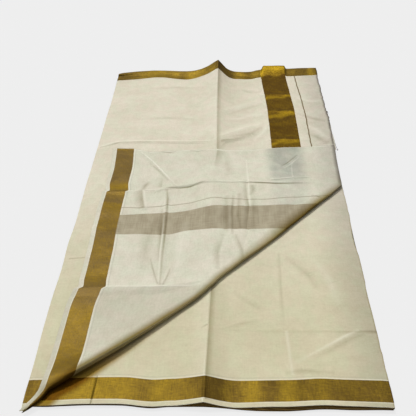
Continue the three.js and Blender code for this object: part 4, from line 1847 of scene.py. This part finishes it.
@dataclass
class TurnedFlap(Stretch):
    """The turned flap with its wrong side up, and the bend that joins it to the top layer."""

    flat_columns: int = 122
    bend_columns: int = 24
    rows: int = 300
    rounds: int = 40
    tip_y: float = -626.0
    edge_half: float = 2.6
    boxy: float = 0.62
    open_turn: float = 0.85
    share_spots: Triples = ((0.0, 0.02, 3), (1.0, 0.1, 1.2), (0.3, 0.05, 1))
    # Shares of painted shade: warm up to and round the bend, grey at the open right edge.
    shade_places: tuple[float, ...] = (-620, -560, -450, -345, -236, -143, -60, 0, 60)
    dimness: tuple[float, ...] = (0.9, 0.8, 0.75, 0.7, 0.8, 0.95, 0.85, 0.5, 0.0)
    brink: tuple[float, ...] = (0.4, 0.8, 0.9, 0.8, 0.75, 0.9, 0.85, 0.4, 0.0)
    brink_reach: tuple[float, ...] = (8.0, 18.0, 30.0, 16.0, 26.0, 38.0, 34.0, 20.0, 20.0)
    edge_shade_share: float = 0.7

    def lie(self, x: Array, along: Array) -> Array:
        """Finds the y of each point of the flap.

        Args:
            x: Each point's x.
            along: Its place along the cloth.

        Returns:
            Its y.
        """
        places = [row.x for row in FLAP_LINES]
        lines = [flowing(x, places, values) for values in list(zip(*FLAP_LINES))[1:]]
        y = lines[0] + np.minimum(along, 0.0)
        for low, high, here, there in zip(lines, lines[1:], FLAP_LENGTHS, FLAP_LENGTHS[1:]):
            y = y + (high - low) * np.clip((along - here) / (there - here), 0.0, 1.0)
        return y

    def spread(self, share: Array, along: Array) -> tuple[Array, Array]:
        """Finds the x and y of each point of the flat part.

        Args:
            share: How far each point is from the selvedge, where 1 is the start of the bend.
            along: Each point's place along the cloth.

        Returns:
            The x and the y. The two hang on each other, so a few rounds bring them together.
        """
        x = np.full(share.shape, -100.0)
        for _ in range(self.rounds):
            y = self.lie(x, along)
            left = flowing(y, *zip(*FLAP_SELVEDGE))
            bend_x, lift, _ = bend_at(y)
            right = np.maximum(bend_x - np.maximum(lift * BEND_SPREAD, LEAST_REACH), left + 2.0)
            x = left + share * (right - left)
        return x, y

    def round_the_bend(self) -> Array:
        """How far round the fold each column of the bend is, from 0 to 1, as one row."""
        return np.linspace(0.0, 1.0, self.bend_columns + 1)[1:][None, :]

    def shading(self, x: Array, y: Array) -> tuple[Array, Array]:
        """Finds the painted warm shade up to the fold and round it, and the painted grey shade of the open
        right edge.

        Args:
            x: Each flat point's x.
            y: Each flat point's y.

        Returns:
            The painted warm shade and the painted grey shade, over the flat part and then the bend.
        """
        around, start, last = self.round_the_bend(), x[:, -1:], y[:, -1:]
        brink = flowing(last, self.shade_places, self.brink)
        near = np.clip(1.0 + (x - start) / flowing(last, self.shade_places, self.brink_reach), 0.0, 1.0)
        turned = smooth(around, 0.0, 0.3)
        bent = brink * (1.0 - turned) + flowing(last, self.shade_places, self.dimness) * turned
        before = self.edge_shade_share * smooth(x - start, -9.0, 0.0)
        after = self.edge_shade_share + (1.0 - self.edge_shade_share) * around + np.zeros_like(last)
        edge = np.concatenate([before, after], axis=1) * smooth(last, -30.0, 14.0)
        return np.concatenate([near**1.3 * brink, bent], axis=1), edge

    def build(self, material: Material, fray: Sequence[Piece]) -> Piece:
        """Builds the flap and its bend as one sheet.

        Args:
            material: Its finish.
            fray: The loose threads at its cut end.

        Returns:
            The piece.
        """
        first, last = self.tip_y - FLAP_LINES[0].crease, FLAP_LENGTHS[-1]
        row_spots = [(300, 16, 5), (0, 16, 3), (last, 10, 3), (first, 20, 2)]
        share, along = np.meshgrid(
            graded(0.0, 1.0, self.flat_columns, self.share_spots),
            graded(first, last, self.rows, row_spots),
        )
        x, y = self.spread(share, along)
        flat_part = stacked(x, y, self.form.flap(x, y))
        steps = np.linalg.norm(np.diff(flat_part, axis=1), axis=-1)
        across = np.concatenate([np.zeros((len(x), 1)), np.cumsum(steps, axis=1)], axis=1)
        bend_part, bend_weave = self.bend(flat_part[:, -1], along[:, -1], across[:, -1])
        place = np.concatenate([flat_part, bend_part], axis=1)
        weave = np.concatenate([np.stack([along, across], axis=-1), bend_weave], axis=1)
        sheet = cloth_sheet(self.name, place, weave, *self.shading(x, y))
        return self.declare(sheet, material, fray)

    def bend(self, start: Array, along: Array, across: Array) -> tuple[Array, Array]:
        """Carries each row of the flap round the diagonal fold.

        Args:
            start: The last flat point of each row.
            along: Its place along the cloth.
            across: Its distance from the selvedge.

        Returns:
            The points of the bend, and their places on the flat cloth. Round the fold a weft line
            keeps its own way over the cloth, so it leaves the row.
        """
        y = start[:, 1:2]
        _, lift, _ = bend_at(y)
        reach = np.maximum(lift * BEND_SPREAD, LEAST_REACH)
        shut = 1.0 - smooth(y, -40.0, 0.0)
        under = self.form.top(start[:, 0:1], y)
        half = (start[:, 2:3] - under) / 2.0 * shut + self.edge_half * (1.0 - shut)
        turn = shut + self.open_turn * (1.0 - shut)
        angle = math.pi / 2 - self.round_the_bend() * math.pi * turn
        out = reach * np.cos(angle) ** self.boxy
        down = half * (1.0 - np.sign(np.sin(angle)) * np.abs(np.sin(angle)) ** self.boxy)
        place = stacked(start[:, 0:1] + out, y + np.zeros_like(out), start[:, 2:3] - down)
        lean = (bend_at(y + 1.0)[0] - bend_at(y - 1.0)[0]) / 2.0
        sine, cosine = 1.0 / np.hypot(1.0, lean), lean / np.hypot(1.0, lean)
        first = np.zeros_like(y)
        out_steps = np.diff(np.concatenate([first, out], axis=1), axis=1)
        down_steps = np.diff(np.concatenate([first, down], axis=1), axis=1)
        arc = np.cumsum(np.hypot(out_steps * sine, down_steps), axis=1)
        slip = out * cosine
        weave_across = across[:, None] + arc * sine + slip * cosine
        weave_along = along[:, None] - arc * cosine + slip * sine
        return place, np.stack([weave_along, weave_across], axis=-1)

    def end_line(self, count: int) -> Array:
        """Points along the cut end, at even steps from the selvedge to the right side."""
        x, y = self.spread(np.linspace(0.0, 1.0, count), np.full(count, FLAP_LENGTHS[-1]))
        return stacked(x, y, self.form.flap(x, y))


@dataclass
class TuckedEnd(Stretch):
    """The cut end tucked under the top layer's right side, which peeps out at the edge."""

    far: float = 575.0
    peep_end: float = 346.0
    peep: float = 5.0
    turned_from: float = 660.0
    columns: int = 60
    rows: int = 130

    def outer_edge(self, y: Array) -> Array:
        """Finds where the strip's right side lies.

        Args:
            y: Places across the cloth.

        Returns:
            The side's x.
        """
        showing = 1.0 - smooth(y, self.peep_end - 6.0, self.peep_end + 6.0)
        ragged = 0.9 * wander(y, 5, 22.0) + 0.4 * wander(y, 6, 6.0)
        return HALF_WIDTH - 2.0 + showing * (self.peep + 2.0 + ragged)

    def build(self, material: Material, threads: Sequence[Piece]) -> Piece:
        """Builds the tucked strip as one sheet.

        Args:
            material: Its finish.
            threads: The loose threads that hang from it.

        Returns:
            The piece.
        """
        share, y = np.meshgrid(
            graded(0.0, 1.0, self.columns, [(1.0, 0.04, 5)]),
            graded(TUCK_NEAR, self.far, self.rows, [(self.peep_end, 20, 3), (240, 90, 1)]),
        )
        x = TUCK_LEFT + share * (self.outer_edge(y) - TUCK_LEFT)
        z = self.form.second(x, y) + WALL + SEAM_GAP - 1.2 * smooth(x, 299.0, 306.0)
        weave = np.stack([self.turned_from - x, y + HALF_LENGTH], axis=-1)
        return self.declare(cloth_sheet(self.name, stacked(x, y, z), weave), material, threads)


@dataclass
class HiddenLayers(Stretch):
    """The hidden layers as one rounded pile with a flat underside and its folded edges."""

    layers: int = 7
    steps: int = 6
    columns: int = 100
    rows: int = 200
    inset: float = 2.0
    corner_in: float = 3.0
    bulge: float = 1.2
    bulge_in: float = 0.8
    bulge_strays: float = 0.9
    push: float = 3.2
    stray_seed: int = 40

    def build(self, material: Material) -> Piece:
        """Builds the pile: its top from a grid, then its edge drawn down step by step.

        Args:
            material: Its finish.

        Returns:
            The piece.
        """
        bm = bmesh.new()
        bmesh.ops.create_grid(bm, x_segments=self.columns, y_segments=self.rows, size=1.0)
        limit = np.array([HALF_WIDTH - self.inset, HALF_LENGTH - self.inset])
        flat = np.array([vert.co[:2] for vert in bm.verts]) * limit
        x, y = flat[:, 0], flat[:, 1]
        strayed = self.form.strayed(x, y, self.corner_in)
        spots = stacked(strayed, self.form.settled(x, y), self.form.stack(x, y))
        for vert, place in zip(bm.verts, spots):
            vert.co = Vector(place) * MM + PLACE
        self.draw_down(bm, limit[0])
        bmesh.ops.recalc_face_normals(bm, faces=bm.faces)
        mesh = to_mesh(self.name, bm)
        points = np.array([vert.co for vert in mesh.vertices]) - np.array(PLACE)
        map_corners(mesh, "cloth", points[:, :2] + np.array([0.0, HALF_LENGTH * MM]))
        return self.declare(add_piece(self.name, mesh), material)

    def draw_down(self, bm: bmesh.types.BMesh, side: float) -> None:
        """Draws the rim down to the ground in small steps, out and in again at each layer.

        Args:
            bm: The mesh, which has its top alone.
            side: The x of its right side.
        """
        rim = [edge for edge in bm.edges if edge.is_boundary]
        tops = {vert: (vert.co - PLACE) / MM for edge in rim for vert in edge.verts}
        total = self.layers * self.steps
        for step in range(1, total + 1):
            made = bmesh.ops.extrude_edge_only(bm, edges=rim)["geom"]
            rim = [item for item in made if isinstance(item, bmesh.types.BMEdge) and item.is_boundary]
            lower = {}
            for vert in (item for item in made if isinstance(item, bmesh.types.BMVert)):
                above = [edge.other_vert(vert) for edge in vert.link_edges if edge.other_vert(vert) in tops]
                lower[vert] = tops[min(above, key=lambda other: (other.co - vert.co).length)]
            for vert, top in lower.items():
                vert.co = self.rim_point(top, step / total, side) * MM + PLACE
            tops = lower
        bmesh.ops.contextual_create(bm, geom=rim)

    def rim_point(self, top: Vector, share: float, side: float) -> Vector:
        """Finds one rim point's place on its way down: each layer bulges and strays on its own.

        Args:
            top: The point's place at the top of the rim.
            share: How far down it is, from 0 to 1.
            side: The x of the right side.

        Returns:
            The place.
        """
        layer = min(int(share * self.layers), self.layers - 1)
        within = min(share * self.layers - layer, 1.0)
        on_side = abs(top.x) > side - 6.0 and abs(top.y) < HALF_LENGTH - 30.0
        run = np.array(top.y if on_side else top.x)
        strays = self.bulge_strays * float(wander(run, self.stray_seed + layer, 130.0))
        bulge = self.bulge * math.sin(math.pi * within) - self.bulge_in + strays
        if top.y < 0.0 and not on_side:
            pushed = smooth(run, 10.0, 90.0) * (1.0 - 0.9 * smooth(run, 220.0, 298.0))
            bulge += self.push * float(pushed) * min(1.0, 2.0 * share)
        along_x = Vector((math.copysign(1, top.x), 0, 0))
        along_y = Vector((0, math.copysign(1, top.y), 0))
        place = top + (along_x if on_side else along_y) * bulge
        place.z = top.z * (1.0 - share)
        return place


# ---------------------------------------------------------------- loose threads


def spin_thread(bm: bmesh.types.BMesh, points: Sequence[Vector], radius: float) -> None:
    """Adds one thin thread: a four-sided tube along a few points.

    Args:
        bm: The mesh to add it to.
        points: The thread's points in millimetres.
        radius: Its radius in millimetres at the root. It thins to its tip.
    """
    heading = (points[1] - points[0]).to_track_quat("Z", "Y").to_matrix()
    made = bmesh.ops.create_circle(bm, cap_ends=True, segments=4, radius=radius * MM)["verts"]
    bmesh.ops.rotate(bm, verts=made, cent=(0.0, 0.0, 0.0), matrix=heading)
    bmesh.ops.translate(bm, verts=made, vec=points[0] * MM + PLACE)
    ends = list(made[0].link_faces)
    thinning = 0.5 ** (1.0 / (len(points) - 1))
    for before, after in zip(points, points[1:]):
        extruded = bmesh.ops.extrude_face_region(bm, geom=ends)["geom"]
        centre = after * MM + PLACE
        for vert in (item for item in extruded if isinstance(item, bmesh.types.BMVert)):
            moved = vert.co + (after - before) * MM
            vert.co = centre + (moved - centre) * thinning
        ends = [item for item in extruded if isinstance(item, bmesh.types.BMFace)]


def thread_piece(name: str, bm: bmesh.types.BMesh, material: Material) -> Piece:
    """Finishes a mesh of loose threads as one piece.

    Args:
        name: The piece's name.
        bm: The threads' mesh, which is used up.
        material: Their finish.

    Returns:
        The piece.
    """
    bmesh.ops.recalc_face_normals(bm, faces=bm.faces)
    mesh = to_mesh(name, bm)
    piece = add_piece(name, mesh)
    mesh.materials.append(material)
    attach(piece, "root")
    LOG.info("%s: %d faces", name, len(mesh.polygons))
    return piece


@dataclass
class CutFray:
    """Short loose threads along the flap's cut end."""

    flap: TurnedFlap
    count: int = 190
    radius: float = 0.3
    seed: int = 31

    def build(self, material: Material) -> Piece:
        """Builds the fray as one piece.

        Args:
            material: Its finish.

        Returns:
            The piece.
        """
        rng = np.random.default_rng(self.seed)
        bm = bmesh.new()
        for place in self.flap.end_line(self.count):
            root = Vector(place) + Vector((rng.uniform(-1.2, 1.2), -0.6, -0.25))
            length = rng.uniform(1.0, 4.2)
            lean = rng.uniform(-0.7, 0.7)
            drop = rng.uniform(0.0, 0.5)
            middle = root + Vector((lean * length * 0.3, length * 0.6, 0.25 - drop * 0.2))
            tip = root + Vector((lean * length, length, -drop * length * 0.4))
            spin_thread(bm, [root, middle, tip], self.radius)
        return thread_piece("cut_end_fray", bm, material)


@dataclass
class StrayThreads:
    """The few dark threads that hang out at the right side, with their knots."""

    radius: float = 0.7
    runs: tuple[Triples, ...] = (
        ((303, 352, 9.5), (305.5, 349, 8.5), (306, 340, 7.5), (304.5, 331, 8.0)),
        ((304, 330, 8.5), (306.5, 322, 7.0), (305.5, 312, 6.0), (306, 300, 5.0)),
        (
            (303.5, 300, 8.0),
            (305, 286, 4.0),
            (304.5, 262, 1.2),
            (305.5, 238, 0.8),
            (307, 210, 0.8),
            (310, 170, 0.8),
        ),
        ((304, 316, 9.0), (303.5, 300, 9.2), (304.5, 282, 8.8), (303, 262, 9.0)),
    )
    knots: tuple[tuple[float, float, float, float], ...] = (
        (304.5, 348, 8.6, 2.4),
        (306, 321, 6.8, 2.2),
        (305.5, 306, 5.8, 1.8),
        (310, 166, 1.8, 1.8),
    )

    def build(self, material: Material) -> Piece:
        """Builds the threads and knots as one piece.

        Args:
            material: Their finish.

        Returns:
            The piece.
        """
        bm = bmesh.new()
        for run in self.runs:
            spin_thread(bm, [Vector(point) for point in run], self.radius)
        for x, y, z, size in self.knots:
            made = bmesh.ops.create_icosphere(bm, subdivisions=2, radius=size * MM)["verts"]
            bmesh.ops.scale(bm, verts=made, vec=(0.7, 1.3, 0.7))
            bmesh.ops.translate(bm, verts=made, vec=Vector((x, y, z)) * MM + PLACE)
        return thread_piece("stray_threads", bm, material)


# ---------------------------------------------------------------- studio


@dataclass
class Studio:
    """The floor, the soft lights and the camera."""

    camera_at: tuple[float, float, float] = (16.4, -1224.8, 891.0)
    pitch_down: float = 37.92
    yaw_left: float = 1.5
    lens: float = 55.64
    floor_size: float = 7.0
    floor_seen: Rgb = (238, 238, 238)
    floor_glow: float = 0.9
    floor_felt: Rgb = (110, 106, 98)
    sky_strength: float = 0.24
    lamp_distance: float = 3.0
    sensor: float = 36.0

    def build(self) -> None:
        """Sets up everything round the part."""
        self.floor()
        world = bpy.data.worlds.new("studio")
        world.use_nodes = True
        sky = world.node_tree.nodes["Background"].inputs
        sky["Strength"].default_value = self.sky_strength
        sky["Color"].default_value = (1.0, 1.0, 1.0, 1.0)
        bpy.context.scene.world = world
        self.sun("key light", (-0.50, 0.86), elevation=63.0, power=1.84, spread=9.0)
        self.sun("soft top light", (-0.15, 0.99), elevation=80.0, power=0.8, spread=60.0)
        self.camera()

    def floor(self) -> None:
        """A plain pale lit table, which shows little of a shadow and throws little light back up."""
        bm = bmesh.new()
        bmesh.ops.create_grid(bm, x_segments=1, y_segments=1, size=self.floor_size)
        mesh = to_mesh("floor", bm)
        floor = bpy.data.objects.new("floor", mesh)
        bpy.context.scene.collection.objects.link(floor)
        material, nodes, shader = new_material("pale floor")
        seen = nodes.add("ShaderNodeLightPath").outputs["Is Camera Ray"]
        pale = np.array(to_linear(*self.floor_seen))
        dimmed = (*(pale[:3] * (1.0 - self.floor_glow)), 1.0)
        nodes.feed(shader.inputs["Base Color"], nodes.mix(seen, to_linear(*self.floor_felt), dimmed))
        shader.inputs["Emission Color"].default_value = tuple(pale)
        nodes.feed(shader.inputs["Emission Strength"], nodes.times(seen, self.floor_glow))
        shader.inputs["Roughness"].default_value = 1.0
        shader.inputs["Specular IOR Level"].default_value = 0.0
        mesh.materials.append(material)

    def sun(self, name: str, towards: Span, elevation: float, power: float, spread: float) -> None:
        """A far, soft light.

        Args:
            name: The light's name.
            towards: The way to it over the floor.
            elevation: Its height in degrees.
            power: Its strength.
            spread: How wide it looks, in degrees.
        """
        light = bpy.data.lights.new(name, "SUN")
        light.energy = power
        light.angle = math.radians(spread)
        lamp = bpy.data.objects.new(name, light)
        level = Vector((towards[0], towards[1], 0.0)).normalized()
        rise = math.radians(elevation)
        way = level * math.cos(rise) + Vector((0.0, 0.0, math.sin(rise)))
        lamp.location = way * self.lamp_distance
        lamp.rotation_euler = (-way).to_track_quat("-Z", "Y").to_euler()
        bpy.context.scene.collection.objects.link(lamp)

    def camera(self) -> None:
        """The camera, at the near side and above."""
        lens = bpy.data.cameras.new("camera")
        lens.lens = self.lens
        lens.sensor_width = self.sensor
        camera = bpy.data.objects.new("camera", lens)
        camera.location = Vector(self.camera_at) * MM + PLACE
        pitch, yaw = math.radians(self.pitch_down), math.radians(self.yaw_left)
        look = Vector((-math.sin(yaw) * math.cos(pitch), math.cos(yaw) * math.cos(pitch), -math.sin(pitch)))
        camera.rotation_euler = look.to_track_quat("-Z", "Y").to_euler()
        bpy.context.scene.collection.objects.link(camera)
        bpy.context.scene.camera = camera


def main() -> None:
    """Builds the studio, then each stretch of the saree from the ground up."""
    logging.basicConfig(level=logging.INFO, format="%(name)s: %(message)s")
    bpy.context.scene.view_settings.view_transform = "Standard"
    Studio().build()
    groups = {
        "stripe": stripe_group(),
        "crease": crease_group(),
        "weave": weave_group(),
        "zari": zari_group(),
    }
    second_finish = ClothFinish("bordered cotton", pressed=SECOND_PRESSED).make(groups)
    top_finish = ClothFinish(
        "bordered cotton with pallu", border_painted_sheen=TOP_PAINTED_SHEEN, has_band=True, pressed=TOP_PRESSED
    ).make(groups)
    flap_finish = ClothFinish(
        "bordered cotton wrong side",
        face=Face.WRONG,
        border_painted_sheen=FLAP_PAINTED_SHEEN,
        has_band=True,
        near_cream=(226, 222, 206),
        near_shade=(202, 198, 178),
        cream=(229, 225, 208),
        shade=(203, 199, 179),
        gold_bright=(148, 119, 26),
        gold_dull=(116, 95, 54),
        # Painted warm shade round the bend.
        fold_shade_tint=(0.31, 0.225, 0.02, 1.0),
        selvedge_lines=((0.0078, 0.0095),),
        pressed=FLAP_PRESSED,
    ).make(groups)
    pale_thread = ThreadFinish("cream thread", (228, 222, 204), (196, 188, 164)).make()
    dark_thread = ThreadFinish("dark thread", (104, 88, 84), (58, 46, 44)).make()

    form = PileForm()
    bordered, plain = "bordered_cotton", "cream_cotton"
    pile = HiddenLayers(form, "pile_of_layers", "hidden_layers", plain, (1.2, 0.6))
    pile.build(PileFinish().make())
    second = SecondStretch(form, "second_layer", "second_stretch", bordered, (1.2, 0.6), ("hidden_layers",))
    second.build(second_finish)
    strays = StrayThreads().build(dark_thread)
    tucked = TuckedEnd(form, "cut_end", "tucked_end", plain, (0.42, 0.18), ("second_stretch",))
    tucked.build(second_finish, [strays])
    top = TopStretch(form, "top_layer", "top_stretch", bordered, (1.2, 0.6), ("second_stretch",), 0.54)
    top.build(top_finish)
    flap = TurnedFlap(form, "flap", "turned_flap", bordered, (0.62, 0.78), ("top_stretch",), 0.26)
    flap.build(flap_finish, [CutFray(flap).build(pale_thread)])


if __name__ == "__main__":
    main()
